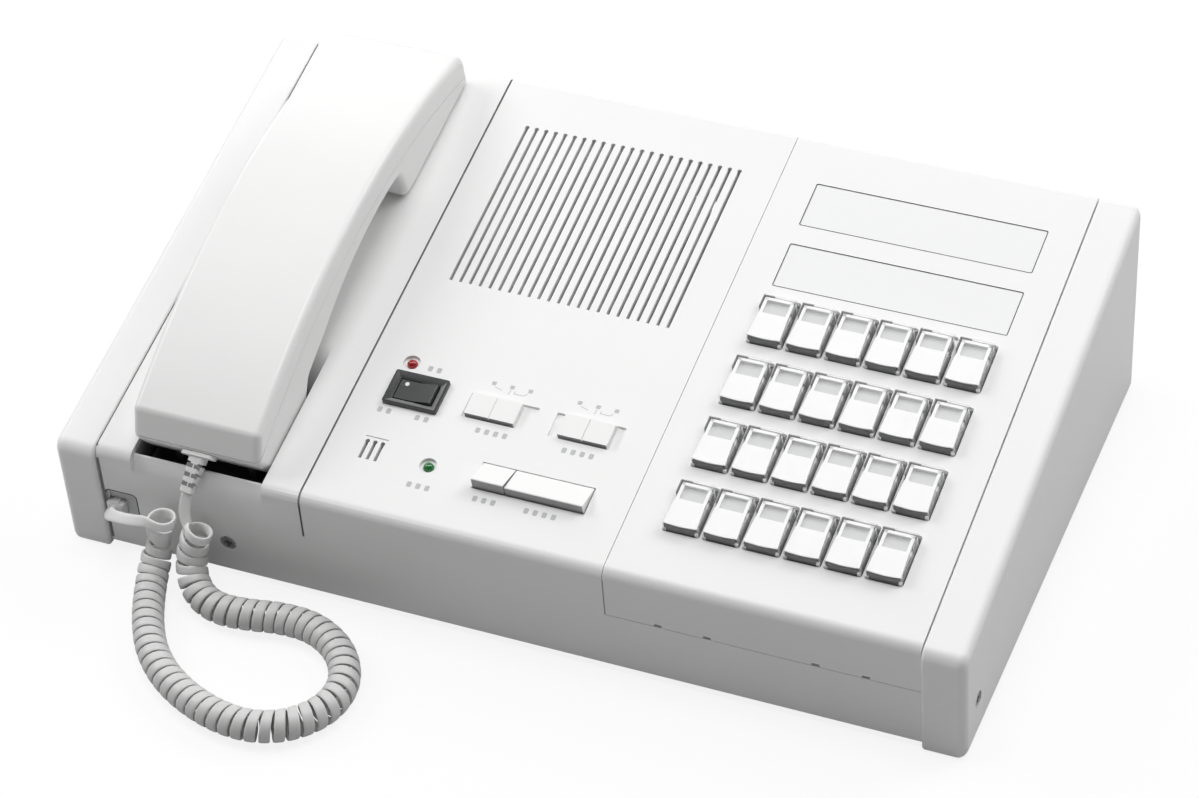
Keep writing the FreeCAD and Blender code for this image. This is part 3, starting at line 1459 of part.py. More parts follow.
save("hook_plunger", hook_plunger())
save("hook_switch", hook_switch())
handset_top, handset_bottom = build_handset()
save("handset_top_shell", handset_top)
save("handset_bottom_shell", handset_bottom)
save("receiver_capsule", receiver_capsule())
save("mouth_capsule", mouth_capsule())
save("handset_relief", build_relief())
save("handset_jack", build_jack())
save("cord_plug", build_plug())
save("cord_lead_base", tube(base_lead_points, lead_width / 2))
save("cord_coil", tube(coil_points, coil_diameter / 2))
save("cord_lead_handset", tube(handset_lead_points, lead_width / 2))

for node, count, valid in written:
    if not valid or count != 1:
        print(node, count, "valid" if valid else "INVALID")
print(len(written), "nodes, shift", round(shift.y, 3))
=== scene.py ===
"""Looks of a desk intercom: the finishes of its case, keys and handset, and its curly cord.

Most pieces are merged copies of the frame's solids. Keys, lenses, seams, marks and the cord are drawn anew,
at places read from the solids where they can be. Points are worked out in millimetres, either in the case's
own frame (x to the right, y back from the front wall, z up from the table) or in the deck's frame (x, s up
the slope from the front edge, n out of the deck). case_point and deck_point carry them to metres.
"""

import json
import math

import bmesh
import bpy
import numpy as np
from bpy.props import FloatProperty, FloatVectorProperty, IntProperty, PointerProperty
from bpy.types import Operator, Panel, PropertyGroup
from mathutils import Matrix, Vector
from mathutils.bvhtree import BVHTree

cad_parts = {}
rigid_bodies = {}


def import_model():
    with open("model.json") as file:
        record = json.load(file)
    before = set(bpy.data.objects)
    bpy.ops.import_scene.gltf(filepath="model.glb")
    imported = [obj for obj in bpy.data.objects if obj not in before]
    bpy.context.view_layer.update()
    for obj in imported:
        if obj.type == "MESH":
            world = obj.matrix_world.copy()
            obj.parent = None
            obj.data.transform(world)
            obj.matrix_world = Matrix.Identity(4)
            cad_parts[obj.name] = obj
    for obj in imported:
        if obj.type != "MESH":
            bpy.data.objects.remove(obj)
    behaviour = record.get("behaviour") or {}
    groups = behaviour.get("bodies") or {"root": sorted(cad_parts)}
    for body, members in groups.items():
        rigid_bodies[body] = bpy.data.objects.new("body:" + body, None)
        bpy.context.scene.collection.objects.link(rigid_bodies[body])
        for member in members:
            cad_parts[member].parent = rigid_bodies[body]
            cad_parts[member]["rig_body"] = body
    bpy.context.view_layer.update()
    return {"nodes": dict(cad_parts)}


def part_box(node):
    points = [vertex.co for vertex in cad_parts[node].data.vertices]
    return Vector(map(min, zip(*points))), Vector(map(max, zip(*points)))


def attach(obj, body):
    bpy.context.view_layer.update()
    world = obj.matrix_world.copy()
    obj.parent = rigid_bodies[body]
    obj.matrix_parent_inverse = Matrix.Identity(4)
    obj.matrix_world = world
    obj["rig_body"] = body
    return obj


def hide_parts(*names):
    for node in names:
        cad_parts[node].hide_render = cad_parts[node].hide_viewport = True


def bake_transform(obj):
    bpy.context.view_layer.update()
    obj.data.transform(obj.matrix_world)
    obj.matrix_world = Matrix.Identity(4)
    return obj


bl_info = {
    "name": "Desk Intercom",
    "version": (1, 0, 0),
    "blender": (4, 5, 0),
    "location": "View3D > Sidebar > Intercom",
    "description": "Finishes a desk intercom and makes its keys, cord and stage",
    "category": "Object",
}

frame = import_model()

MM = 0.001
ROOT = "console"
FRONT_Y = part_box("main_housing")[0].y
FRONT_HEIGHT = 56.2         # deck's front edge, before its rounding
FRONT_EDGE_RADIUS = 5.0
CASE_WALL = 2.6
DECK_ANGLE = math.radians(10.2)
DECK_OUT = Vector((0.0, -math.sin(DECK_ANGLE), math.cos(DECK_ANGLE)))
DECK_UP = Vector((0.0, math.cos(DECK_ANGLE), math.sin(DECK_ANGLE)))
RIGHT = Vector((1.0, 0.0, 0.0))
MERGE_DISTANCE = 2e-6       # metres, for the loose corners of a solid's mesh
NEARLY_ALONG = 0.9          # cosine from which a face counts as looking along a way


# ---------------------------------------------------------------- places
def case_point(p):
    """Case frame, millimetres, to the frame in metres: y counts from the front wall."""
    return np.asarray(p, float) * MM + np.array([0.0, FRONT_Y, 0.0])


def deck_point(p):
    """Deck frame to metres: turn (s, n) by the slope about the deck's front edge, then lift to its height."""
    x, s, n = np.moveaxis(np.asarray(p, float), -1, 0)
    y = s * math.cos(DECK_ANGLE) - n * math.sin(DECK_ANGLE)
    z = FRONT_HEIGHT + s * math.sin(DECK_ANGLE) + n * math.cos(DECK_ANGLE)
    return case_point(np.stack([x, y, z], axis=-1))


def middle_x(node):
    """Middle of a solid along x, in millimetres."""
    low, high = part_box(node)
    return (low.x + high.x) / 2 / MM


def unit(v):
    """Rows of v made one long."""
    return v / np.maximum(np.linalg.norm(v, axis=-1, keepdims=True), 1e-12)


# ---------------------------------------------------------------- shapes: each gives points and faces
def grid_faces(rows, columns, wrap=True):
    """Quads of a rows by columns grid of points, closed round its columns when wrap is set."""
    i = np.arange(rows - 1)[:, None]
    j = np.arange(columns if wrap else columns - 1)[None, :]
    a = i * columns + j
    b = i * columns + (j + 1) % columns
    return np.stack([a, b, b + columns, a + columns], axis=-1).reshape(-1, 4).tolist()


def tube_faces(rows, around):
    """Quads round a stack of rings of points, and a flat face over each end."""
    ring = list(range(around))
    return grid_faces(rows, around) + [ring[::-1], [v + (rows - 1) * around for v in ring]]


def rounded_ring(width, length, radius, inset, corner_points):
    """Closed rounded rectangle: four quarter circles joined by straights, all moved in by inset."""
    r = max(radius - inset, 0.02)
    angle = np.linspace(0.0, math.pi / 2, corner_points)
    quarter = np.arange(4)[:, None] * math.pi / 2 + angle[None, :]
    sign_x = np.array([1, -1, -1, 1])[:, None]
    sign_y = np.array([1, 1, -1, -1])[:, None]
    x = sign_x * (width / 2 - inset - r) + r * np.cos(quarter)
    y = sign_y * (length / 2 - inset - r) + r * np.sin(quarter)
    return np.stack([x.ravel(), y.ravel()], axis=-1)


def stacked_pad(x, s, width, length, radius, profile, corner_points=6, cover=tube_faces):
    """Rounded-rectangle rings about (x, s), one for each (inset, n) of the profile.

    The profile runs from the foot up over the rim, and may come down again inside it. With tube_faces as the
    cover a flat face closes each end, and with grid_faces the ends stay open."""
    rings = []
    for inset, n in profile:
        ring = rounded_ring(width, length, radius, inset, corner_points) + (x, s)
        rings.append(np.column_stack([ring, np.full(len(ring), n)]))
    return np.concatenate(rings), cover(len(rings), len(rings[0]))


def revolved(profile, turns=28):
    """A profile of (radius, height) turned about the upright, its ends closed by flat faces."""
    radius, height = np.array(profile, float).T[:, :, None]
    angle = np.linspace(0, 2 * math.pi, turns, endpoint=False)
    x = np.maximum(radius, 0.001) * np.cos(angle)
    y = np.maximum(radius, 0.001) * np.sin(angle)
    points = np.stack([x, y, np.broadcast_to(height, x.shape)], axis=-1).reshape(-1, 3)
    return points, tube_faces(len(profile), turns)


def prism(outline, low, high):
    """A flat outline of (x, s) carried straight up from low to high."""
    ends = [np.column_stack([outline, np.full(len(outline), float(n))]) for n in (low, high)]
    return np.concatenate(ends), tube_faces(2, len(outline))


def brick(x0, x1, s0, s1, n0, n1, lean=0.0):
    """A plain block between its six sides, its top edge at the front moved back by lean."""
    points, faces = prism([(x0, s0), (x1, s0), (x1, s1), (x0, s1)], n0, n1)
    points[4:6, 1] += lean
    return points, faces


def joined(parts):
    """Several (points, faces) as one."""
    points, faces, first = [], [], 0
    for p, f in parts:
        points.append(p)
        faces += [[v + first for v in face] for face in f]
        first += len(p)
    return np.concatenate(points), faces


# ---------------------------------------------------------------- pieces
def linked(name, data):
    """A new object of the data, in the scene."""
    obj = bpy.data.objects.new(name, data)
    bpy.context.scene.collection.objects.link(obj)
    return obj


def mesh_object(name, points, faces, smooth_angle=35.0):
    """A mesh object from arrays, with smooth faces parted at edges sharper than the angle."""
    mesh = bpy.data.meshes.new(name)
    mesh.from_pydata(np.asarray(points, float).reshape(-1, 3).tolist(), [], faces)
    mesh.update()
    mesh.polygons.foreach_set("use_smooth", [True] * len(mesh.polygons))
    mesh.set_sharp_from_angle(angle=math.radians(smooth_angle))
    return linked(name, mesh)


def finish_piece(obj, body, material, nodes=()):
    """Material, body and the solids that the piece stands for, which it hides."""
    obj.data.materials.clear()
    obj.data.materials.append(material)
    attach(obj, body)
    if nodes:
        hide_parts(*nodes)
    return obj


def made_piece(name, parts, place, body, material, nodes=(), at=(0.0, 0.0, 0.0), smooth_angle=35.0):
    """Parts in millimetres joined as one finished piece: moved by at, then carried to metres by place."""
    points, faces = joined(parts)
    obj = mesh_object(name, place(points + at), faces, smooth_angle)
    return finish_piece(obj, body, material, nodes)


def values_of(items, name, size=1, kind=float):
    """A property of every item of a mesh as an array, in rows of the size where that is more than one."""
    flat = np.zeros(len(items) * size, kind)
    items.foreach_get(name, flat)
    return flat.reshape(-1, size) if size > 1 else flat


def even_normals(mesh, limit):
    """Set each corner's normal to the mean, by area, of the faces round its point that turn less than limit.

    The faces are found by their shared point, so a joint between unlike edges shades as a whole one does."""
    vertex = values_of(mesh.loops, "vertex_index", kind=np.int32)
    sides = values_of(mesh.polygons, "loop_total", kind=np.int32)
    area = values_of(mesh.polygons, "area")
    way = values_of(mesh.polygons, "normal", 3)
    face = np.repeat(np.arange(len(sides)), sides)
    order = np.argsort(vertex, kind="stable")
    met = np.bincount(vertex, minlength=len(mesh.vertices))
    first = np.cumsum(met) - met
    count = met[vertex[order]]
    own = np.repeat(np.arange(len(vertex)), count)
    step = np.arange(len(own)) - np.repeat(np.cumsum(count) - count, count)
    other = order[first[vertex[order]][own] + step]
    own = order[own]
    near = np.sum(way[face[own]] * way[face[other]], axis=1) > math.cos(math.radians(limit))
    share = way[face[other]] * (area[face[other]] * near)[:, None]
    total = np.stack([np.bincount(own, share[:, k], minlength=len(vertex)) for k in range(3)], axis=-1)
    blank = np.linalg.norm(total, axis=1) < 1e-16
    total[blank] = way[face[blank.nonzero()[0]]] + np.array([0.0, 0.0, 1e-9])
    mesh.normals_split_custom_set((total / np.linalg.norm(total, axis=1, keepdims=True)).tolist())


def dressed(node, name, material, sharp=32.0):
    """A merged copy of a solid of the frame with smooth rounds and flat faces, standing for it."""
    source = frame["nodes"][node]
    mesh = source.data.copy()
    mesh.name = name
    work = bmesh.new()
    work.from_mesh(mesh)
    bmesh.ops.remove_doubles(work, verts=work.verts, dist=MERGE_DISTANCE)
    work.to_mesh(mesh)
    work.free()
    mesh.polygons.foreach_set("use_smooth", [True] * len(mesh.polygons))
    even_normals(mesh, sharp)
    return finish_piece(linked(name, mesh), source["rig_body"], material, [node])


def coat(node, material):
    """The material of a solid of the frame that is shown as it is."""
    data = frame["nodes"][node].data
    data.materials.clear()
    data.materials.append(material)


def set_tone(mesh, colors):
    """One color for each point of the mesh, which toned materials read."""
    tone = mesh.color_attributes.new("tone", "FLOAT_COLOR", "POINT")
    tone.data.foreach_set("color", np.column_stack([colors, np.ones(len(colors))]).ravel())


def paint_light_by_facing(obj, material, ways):
    """Painted light or shade: a second material on the faces that look along one of the ways, or nearly so.
    """
    mesh = obj.data
    mesh.materials.append(material)
    along = np.max(values_of(mesh.polygons, "normal", 3) @ np.array([tuple(way) for way in ways]).T, axis=1)
    mesh.polygons.foreach_set("material_index", (along > NEARLY_ALONG).astype(np.int32))
    mesh.update()


# ---------------------------------------------------------------- shader nodes
def add_node(tree, kind, values=None, **settings):
    """A shader node with its settings, and with constant values on its inputs."""
    node = tree.nodes.new("ShaderNode" + kind)
    for name, value in settings.items():
        setattr(node, name, value)
    for name, value in (values or {}).items():
        node.inputs[name].default_value = value
    return node


def wire(tree, *links):
    """Links, each given as a node, its output, a node and its input."""
    for source, output, target, entry in links:
        tree.links.new(source.outputs[output], target.inputs[entry])


def fill_moulded_skin(group, into, out):
    """Fine spark-eroded grain, faint sink marks and handling haze of an injection moulding."""
    place = add_node(group, "TexCoord")
    grain = add_node(group, "TexNoise", {"Detail": 2.0})
    cloud = add_node(group, "TexNoise", {"Scale": 34.0, "Detail": 4.0})
    haze = add_node(group, "MapRange", {"From Min": 0.35, "From Max": 0.65, "To Min": -1.0})
    spread = add_node(group, "Math", operation="MULTIPLY")
    rough = add_node(group, "Math", operation="ADD", use_clamp=True)
    amount = add_node(group, "Math", operation="MULTIPLY", use_clamp=True)
    old = add_node(group, "Mix", data_type="RGBA", blend_type="MULTIPLY")
    old.inputs["B"].default_value = (0.97, 0.955, 0.9, 1)
    wire(
        group,
        (place, "Object", grain, "Vector"), (into, "Grain Scale", grain, "Scale"),
        (place, "Object", cloud, "Vector"), (cloud, "Fac", haze, "Value"),
        (haze, "Result", spread, 0), (into, "Haze", spread, 1),
        (into, "Roughness", rough, 0), (spread, 0, rough, 1),
        (cloud, "Fac", amount, 0), (into, "Yellowing", amount, 1),
        (amount, 0, old, "Factor"), (into, "Color", old, "A"),
        (old, "Result", out, "Color"), (rough, 0, out, "Roughness"), (grain, "Fac", out, "Height"),
    )


def fill_fine_scratches(group, into, out):
    """Hairline rubbing of clear plastic and metal: stretched noise that lifts the roughness in thin lines."""
    place = add_node(group, "TexCoord")
    stretch = add_node(group, "Mapping", {"Scale": (90.0, 2600.0, 900.0), "Rotation": (0.2, 0.1, 0.5)})
    lines = add_node(group, "TexNoise", {"Scale": 1.0, "Detail": 3.0})
    thin = add_node(group, "MapRange", {"From Min": 0.56, "From Max": 0.72})
    gain = add_node(group, "Math", operation="MULTIPLY")
    rough = add_node(group, "Math", operation="ADD", use_clamp=True)
    wire(
        group,
        (place, "Object", stretch, "Vector"), (stretch, "Vector", lines, "Vector"),
        (lines, "Fac", thin, "Value"), (thin, "Result", gain, 0), (into, "Amount", gain, 1),
        (gain, 0, rough, 0), (into, "Roughness", rough, 1),
        (rough, 0, out, "Roughness"), (thin, "Result", out, "Height"),
    )


# Node groups that materials share: inputs with their defaults, outputs, and what fills them.
GROUPS = {
    "moulded_skin": (
        {
            "Color": (0.8, 0.8, 0.8, 1), "Roughness": 0.45, "Grain Scale": 2600.0, "Haze": 0.04,
            "Yellowing": 0.02,
        },
        ("Color", "Roughness", "Height"), fill_moulded_skin,
    ),
    "fine_scratches": ({"Roughness": 0.1, "Amount": 0.2}, ("Roughness", "Height"), fill_fine_scratches),
}


def group_node(tree, name, values):
    """A shared node group in a material, with its own values. The first use builds the group."""
    group = bpy.data.node_groups.get(name)
    if group is None:
        inputs, outputs, fill = GROUPS[name]
        group = bpy.data.node_groups.new(name, "ShaderNodeTree")
        for way, names in (("INPUT", inputs), ("OUTPUT", outputs)):
            for key in names:
                kind = "NodeSocketColor" if key == "Color" else "NodeSocketFloat"
                made = group.interface.new_socket(name=key, in_out=way, socket_type=kind)
                if way == "INPUT":
                    made.default_value = inputs[key]
        fill(group, group.nodes.new("NodeGroupInput"), group.nodes.new("NodeGroupOutput"))
    return add_node(tree, "Group", values, node_tree=group)


# ---------------------------------------------------------------- materials
def new_material(name, **values):
    """A material, its node tree and its shader, with constant values on the shader's inputs."""
    material = bpy.data.materials.new(name)
    material.use_nodes = True
    shader = material.node_tree.nodes["Principled BSDF"]
    for key, value in values.items():
        shader.inputs[key.replace("_", " ")].default_value = value
    return material, material.node_tree, shader


def moulded_plastic(name, color, roughness=0.45, grain=2600.0, depth=0.00002, haze=0.04, yellowing=0.02,
                    toned=False):
    """Injection-moulded plastic with its grain as bump. A toned one reads its color from the mesh's tone."""
    material, tree, shader = new_material(name)
    skin = group_node(tree, "moulded_skin", {
        "Color": (*color, 1), "Roughness": roughness, "Grain Scale": grain, "Haze": haze,
        "Yellowing": yellowing,
    })
    bump = add_node(tree, "Bump", {"Distance": depth, "Strength": 0.6})
    wire(
        tree,
        (skin, "Height", bump, "Height"), (bump, "Normal", shader, "Normal"),
        (skin, "Color", shader, "Base Color"), (skin, "Roughness", shader, "Roughness"),
    )
    if toned:
        wire(tree, (add_node(tree, "Attribute", attribute_name="tone"), "Color", skin, "Color"))
    return material


def clear_plastic(name, color, clear, edge, roughness=0.06):
    """Clear acrylic: nearly open face on, milkier where it is seen edge on."""
    material, tree, shader = new_material(name, Base_Color=(*color, 1), Coat_Weight=0.3)
    scratches = group_node(tree, "fine_scratches", {"Roughness": roughness, "Amount": 0.12})
    facing = add_node(tree, "LayerWeight", {"Blend": 0.45})
    veil = add_node(tree, "MapRange", {"To Min": clear, "To Max": edge})
    wire(
        tree,
        (scratches, "Roughness", shader, "Roughness"),
        (facing, "Facing", veil, "Value"), (veil, "Result", shader, "Alpha"),
    )
    return material


def bare_metal(name, color, roughness=0.32):
    """Plated steel with hairlines."""
    material, tree, shader = new_material(name, Base_Color=(*color, 1), Metallic=1.0)
    scratches = group_node(tree, "fine_scratches", {"Roughness": roughness, "Amount": 0.3})
    wire(tree, (scratches, "Roughness", shader, "Roughness"))
    return material


def tinted_lens(name, color):
    """Tinted lens plastic, deep in colour and glossy."""
    material, tree, shader = new_material(
        name, Coat_Weight=0.8, Coat_Roughness=0.03, Subsurface_Weight=0.2,
        Subsurface_Radius=(0.002, 0.002, 0.002),
    )
    skin = group_node(tree, "moulded_skin", {
        "Color": (*color, 1), "Roughness": 0.12, "Haze": 0.02, "Yellowing": 0.0,
    })
    wire(tree, (skin, "Color", shader, "Base Color"), (skin, "Roughness", shader, "Roughness"))
    return material


def grey(level, warmth=0.0):
    """A grey whose blue is above or below its level by the warmth."""
    return (level, level, level - warmth)


BLACK_MOULDING = dict(grain=1800.0, depth=0.00003, yellowing=0.0)
# Values of each finish. Where a setting holds its color, that comes with the name, and the maker is
# moulded_plastic unless the table says otherwise.
FINISHES = {
    "case_white": dict(),
    "handset_white": dict(grain=3200.0, depth=0.00001),
    "knob_white": dict(color=grey(0.86, 0.005), roughness=0.38),
    "dark_plastic": dict(color=grey(0.03, -0.001), roughness=0.4, haze=0.08, **BLACK_MOULDING),
    "seam_dark": dict(color=grey(0.02), roughness=0.9),
    "seam_grey": dict(color=grey(0.22), roughness=0.8),
    "pocket_shade": dict(color=grey(1.0), roughness=0.5, toned=True),
    "screw_steel": dict(maker=bare_metal, color=grey(0.42)),
    "foot_rubber": dict(color=grey(0.03), roughness=0.75, grain=1500.0, depth=0.00005, haze=0.05,
                        yellowing=0.0),
    "board_green": dict(color=(0.03, 0.13, 0.06), roughness=0.35, grain=900.0, depth=0.00004, haze=0.1,
                        yellowing=0.0),
    "speaker_steel": dict(maker=bare_metal, color=grey(0.2, -0.01), roughness=0.5),
    "speaker_paper": dict(color=grey(0.035), roughness=0.9, grain=700.0, depth=0.0001, haze=0.05,
                          yellowing=0.0),
    "key_cap_clear": dict(maker=clear_plastic, color=(0.92, 0.925, 0.925), clear=0.03, edge=0.25),
    "key_label_white": dict(roughness=0.5),
    "key_lamp_window": dict(roughness=0.3),
    # Painted shade inside the keys' caps.
    "key_shade_grey": dict(roughness=0.45, grain=2000.0),
    # Painted shade along the keys' right sides.
    "key_side_grey": dict(color=(0.34, 0.343, 0.343), roughness=0.45, grain=2000.0),
    "paper_card": dict(color=grey(0.95, 0.002), roughness=0.8, grain=600.0),
    "window_clear": dict(maker=clear_plastic, color=(0.88, 0.883, 0.883), clear=0.97, edge=1.0,
                         roughness=0.35),
    "rocker_grey": dict(roughness=0.3, haze=0.05, **BLACK_MOULDING),
    "rocker_bezel": dict(color=(0.045, 0.046, 0.047), roughness=0.3, haze=0.05, **BLACK_MOULDING),
    # Painted light on the rocker bezel's slopes that look towards the lamps.
    "rocker_bezel_slope": dict(color=(0.19, 0.192, 0.193), roughness=0.3, haze=0.05, **BLACK_MOULDING),
    # Painted shade on the fronts of the knobs and on the left push key's right side.
    "slide_front_grey": dict(color=(0.26, 0.262, 0.262), roughness=0.4),
    "push_front_grey": dict(color=(0.36, 0.363, 0.363), roughness=0.4),
    "red_led_tint": dict(maker=tinted_lens),
    "green_led_tint": dict(maker=tinted_lens),
    "print_grey": dict(roughness=0.6, depth=0.00001),
    "cord_grip": dict(color=grey(0.8, 0.004), roughness=0.5, grain=1500.0, depth=0.00004),
    "relief_window_shade": dict(color=(0.22, 0.222, 0.222), roughness=0.6),
    "jack_grey": dict(color=(0.6, 0.605, 0.61), roughness=0.42),
    "plug_white": dict(color=grey(0.88, 0.005), roughness=0.3),
    "cord_vinyl": dict(roughness=0.42, grain=1500.0, depth=0.00004, toned=True),
}
made_finishes = {}


def finish_of(name, **own):
    """The material of that finish, made when it is first asked for, with its own values from settings."""
    if name not in made_finishes:
        values = {**FINISHES[name], **own}
        maker = values.pop("maker", moulded_plastic)
        made_finishes[name] = maker(name, **values)
    return made_finishes[name]


# ---------------------------------------------------------------- settings
def number(name, description, default):
    """A plain number that a user may change."""
    return FloatProperty(name=name, description=description, default=default)


def length(name, description, default):
    """A length in metres that a user may change."""
    return FloatProperty(name=name, description=description, default=default, unit="LENGTH")


def tint(name, description, *default):
    """A color that a user may change."""
    return FloatVectorProperty(name=name, description=description, default=default, subtype="COLOR", size=3)


class IntercomCaseSettings(PropertyGroup):
    color: tint("Color", "White of the mouldings", 0.86, 0.86, 0.858)
    roughness: number("Roughness", "Roughness of the mouldings", 0.46)


class IntercomHandsetSettings(PropertyGroup):
    color: tint("Color", "White of the handset", 0.84, 0.84, 0.836)
    roughness: number("Roughness", "Roughness of the handset", 0.36)
    relief_rows: IntProperty(name="Rows", description="Rows of windows in the strain relief", default=3)


class IntercomKeySettings(PropertyGroup):
    label_share: number("Label share", "Share of the cap over the label", 0.54)
    front_bow: length("Front bow", "Bulge of a label plate's front edge", 0.0005)
    rim: length("Rim", "White rim round a lamp window", 0.0014)
    label_color: tint("Label", "Blank name label", 0.93, 0.93, 0.93)
    lamp_color: tint("Lamp window", "Unlit lamp window", 0.62, 0.625, 0.625)
    # Painted shade: grey of the dark blocks inside each cap, standing for shadow under its front and in its
    # rear-left gap.
    shade_color: tint("Shade", "Dark inside behind a key's front", 0.12, 0.122, 0.122)


class IntercomControlSettings(PropertyGroup):
    rocker_color: tint("Rocker", "Grey of the rocker", 0.075, 0.08, 0.08)
    red: tint("Red lens", "Power indicator", 0.36, 0.006, 0.012)
    green: tint("Green lens", "Talk indicator", 0.002, 0.16, 0.025)
    print_color: tint("Print", "Grey of the printed marks", 0.5, 0.51, 0.51)


class IntercomCordSettings(PropertyGroup):
    width: length("Width", "Width of the flat cord", 0.0048)
    thickness: length("Thickness", "Thickness of the cord", 0.0015)
    coil_radius: length("Coil radius", "Middle of the coil's wall", 0.0060)
    pitch: length("Pitch", "Distance from turn to turn", 0.0052)
    closeness: number("Closeness", "Share of the pitch that the cord fills", 0.86)
    boot: length("Boot", "Growth of the cord at the plug", 0.0035)
    boot_length: length("Boot length", "Reach of that growth", 0.008)
    # The cord's tone by height: this color up to the darkest height, upper_color from the lightest height,
    # blended between.
    color: tint("Color", "Vinyl of the coil, a little soiled", 0.62, 0.62, 0.615)
    upper_color: tint("Clean color", "Vinyl of the raised ends", 0.93, 0.93, 0.925)
    darkest_height: length("Soiled height", "Height up to which it is soiled", 0.010)
    lightest_height: length("Clean height", "Height from which it is clean", 0.034)


class IntercomStageSettings(PropertyGroup):
    lens: number("Lens", "Focal length in millimetres", 117.65)
    lamp_distance: length("Lamp distance", "Lamps from the object", 2.4)
    lamp_size: length("Lamp size", "Side of a lamp", 1.2)
    overhead: number("Overhead", "Lamp above, watts", 25.4)
    rear_right: number("Rear right", "Lamp behind on the right, watts", 22.8)
    left: number("Left", "Lamp on the left, watts", 20.7)
    rear_left: number("Rear left", "Low lamp behind on the left, watts", 11.2)
    rear: number("Rear", "Lamp behind, watts", 4.9)
    ambient: number("Ambient", "Strength of the surroundings", 0.12)


# ---------------------------------------------------------------- case
CASE_PIECES = {
    "main_housing": "case_housing",
    "left_cheek": "case_left_cheek",
    "right_cheek": "case_right_cheek",
    "base_plate": "case_base",
    "keypad_cover": "case_keypad_cover",
}
# Pocket under the handset's mouth end: its span along x and y in the case's frame, how far its points may
# rise above the deck, how deep its faces reach at least, and the depth from which it is darkest.
POCKET_X = (-165.2, -104.1)
POCKET_Y = (5.2, 84.0)
POCKET_RISE = 0.05
POCKET_LEAST_DEPTH = 0.3
POCKET_DARK_DEPTH = 13.0
POCKET_DARK = 0.07
# Seams between the mouldings: from and to along x, and how far the strips in them are sunk and proud.
CRADLE_SEAM_X = (-87.55, -86.65)
KEYPAD_SEAM_X = (46.9, 47.35)
CHEEK_SEAM_WIDTH = 1.1
CHEEK_SEAM_FOOT = 5.0
DECK_SEAM_HALF = 0.2
DECK_SEAM_FRONT = 2.0
SEAM_SINK = 0.2
SEAM_PROUD = 0.03
SEAM_SLACK = 0.01


class INTERCOM_OT_case(Operator):
    """Finish the housing, cheeks, base, feet and screws"""

    bl_idname = "intercom.case"
    bl_label = "Case"

    def execute(self, context):
        case = context.scene.intercom_case
        white = finish_of("case_white", color=case.color, roughness=case.roughness)
        for node, name in CASE_PIECES.items():
            obj = dressed(node, name, white)
            if node == "main_housing":
                self.shade_recesses(obj.data, np.array(case.color))
        dressed("case_screws", "case_screws_dressed", finish_of("screw_steel"))
        dressed("rubber_feet", "case_feet", finish_of("foot_rubber"))
        self.seams()
        return {"FINISHED"}

    def shade_recesses(self, mesh, white):
        """Shade in the cradle's pocket, deeper towards its floor, and in the cradle's seam.

        A face is the pocket's when all its points lie in the pocket's plan, below the deck. It is the seam's
        when they all lie in the seam's span."""
        mesh.materials.append(finish_of("pocket_shade"))
        mesh.materials.append(finish_of("seam_grey"))
        x, y, z = (values_of(mesh.vertices, "co", 3) - case_point((0.0, 0.0, 0.0))).T / MM
        depth = y * math.sin(DECK_ANGLE) + (FRONT_HEIGHT - z) * math.cos(DECK_ANGLE)
        inside = (x > POCKET_X[0]) & (x < POCKET_X[1]) & (y > POCKET_Y[0]) & (y < POCKET_Y[1])
        inside &= depth > -POCKET_RISE
        in_seam = (x > CRADLE_SEAM_X[0] - SEAM_SLACK) & (x < CRADLE_SEAM_X[1] + SEAM_SLACK)
        corners = values_of(mesh.loops, "vertex_index", kind=np.int32)
        starts = values_of(mesh.polygons, "loop_start", kind=np.int32)
        pocket = np.logical_and.reduceat(inside[corners], starts)
        pocket &= np.maximum.reduceat(depth[corners], starts) > POCKET_LEAST_DEPTH
        seam = np.logical_and.reduceat(in_seam[corners], starts)
        mesh.polygons.foreach_set("material_index", pocket.astype(np.int32) + 2 * (seam & ~pocket))
        share = np.clip(depth / POCKET_DARK_DEPTH, 0.0, 1.0)[:, None]
        set_tone(mesh, (1 - share) * white + share * POCKET_DARK)

    def seams(self):
        """Thin dark strips in the joints: left cheek to deck and front wall, keypad cover to front wall."""
        low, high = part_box("main_housing")
        left, rear = low.x / MM, (high.y - low.y) / MM
        half = DECK_SEAM_HALF
        strip = brick(left - half, left + half, DECK_SEAM_FRONT, rear, -SEAM_SINK, SEAM_PROUD)
        made_piece("case_seams", [strip], deck_point, ROOT, finish_of("seam_dark"))
        cover_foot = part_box("keypad_cover")[0].z / MM
        top = FRONT_HEIGHT - FRONT_EDGE_RADIUS
        strips = [
            brick(left, left + CHEEK_SEAM_WIDTH, -SEAM_PROUD, SEAM_SINK, CHEEK_SEAM_FOOT, top),
            brick(*KEYPAD_SEAM_X, -SEAM_PROUD, SEAM_SINK, cover_foot, top),
            self.edge_strip(*CRADLE_SEAM_X),
        ]
        made_piece("case_front_seams", strips, case_point, ROOT, finish_of("seam_grey"))

    def edge_strip(self, left, right):
        """Strip over the round front edge: an arc of its radius from the front wall to the deck's slope."""
        angle = np.linspace(0.0, math.pi / 2 - DECK_ANGLE, 8)
        middle_z = FRONT_HEIGHT + FRONT_EDGE_RADIUS * (math.tan(DECK_ANGLE) - 1 / math.cos(DECK_ANGLE))
        reach = FRONT_EDGE_RADIUS + SEAM_PROUD
        y = FRONT_EDGE_RADIUS - reach * np.cos(angle)
        z = middle_z + reach * np.sin(angle)
        rows = [np.column_stack([np.full(len(angle), x), y, z]) for x in (right, left)]
        return np.concatenate(rows), grid_faces(2, len(angle), wrap=False)


INSIDES = {
    "board_green": ("key_board", "main_board"),
    "speaker_steel": ("speaker_basket",),
    "speaker_paper": ("speaker_cone",),
    "dark_plastic": ("call_microphone", "panel_switches", "hook_switch", "receiver_capsule", "mouth_capsule"),
    "screw_steel": ("push_key_pin",),
    "knob_white": ("hook_plunger",),
}


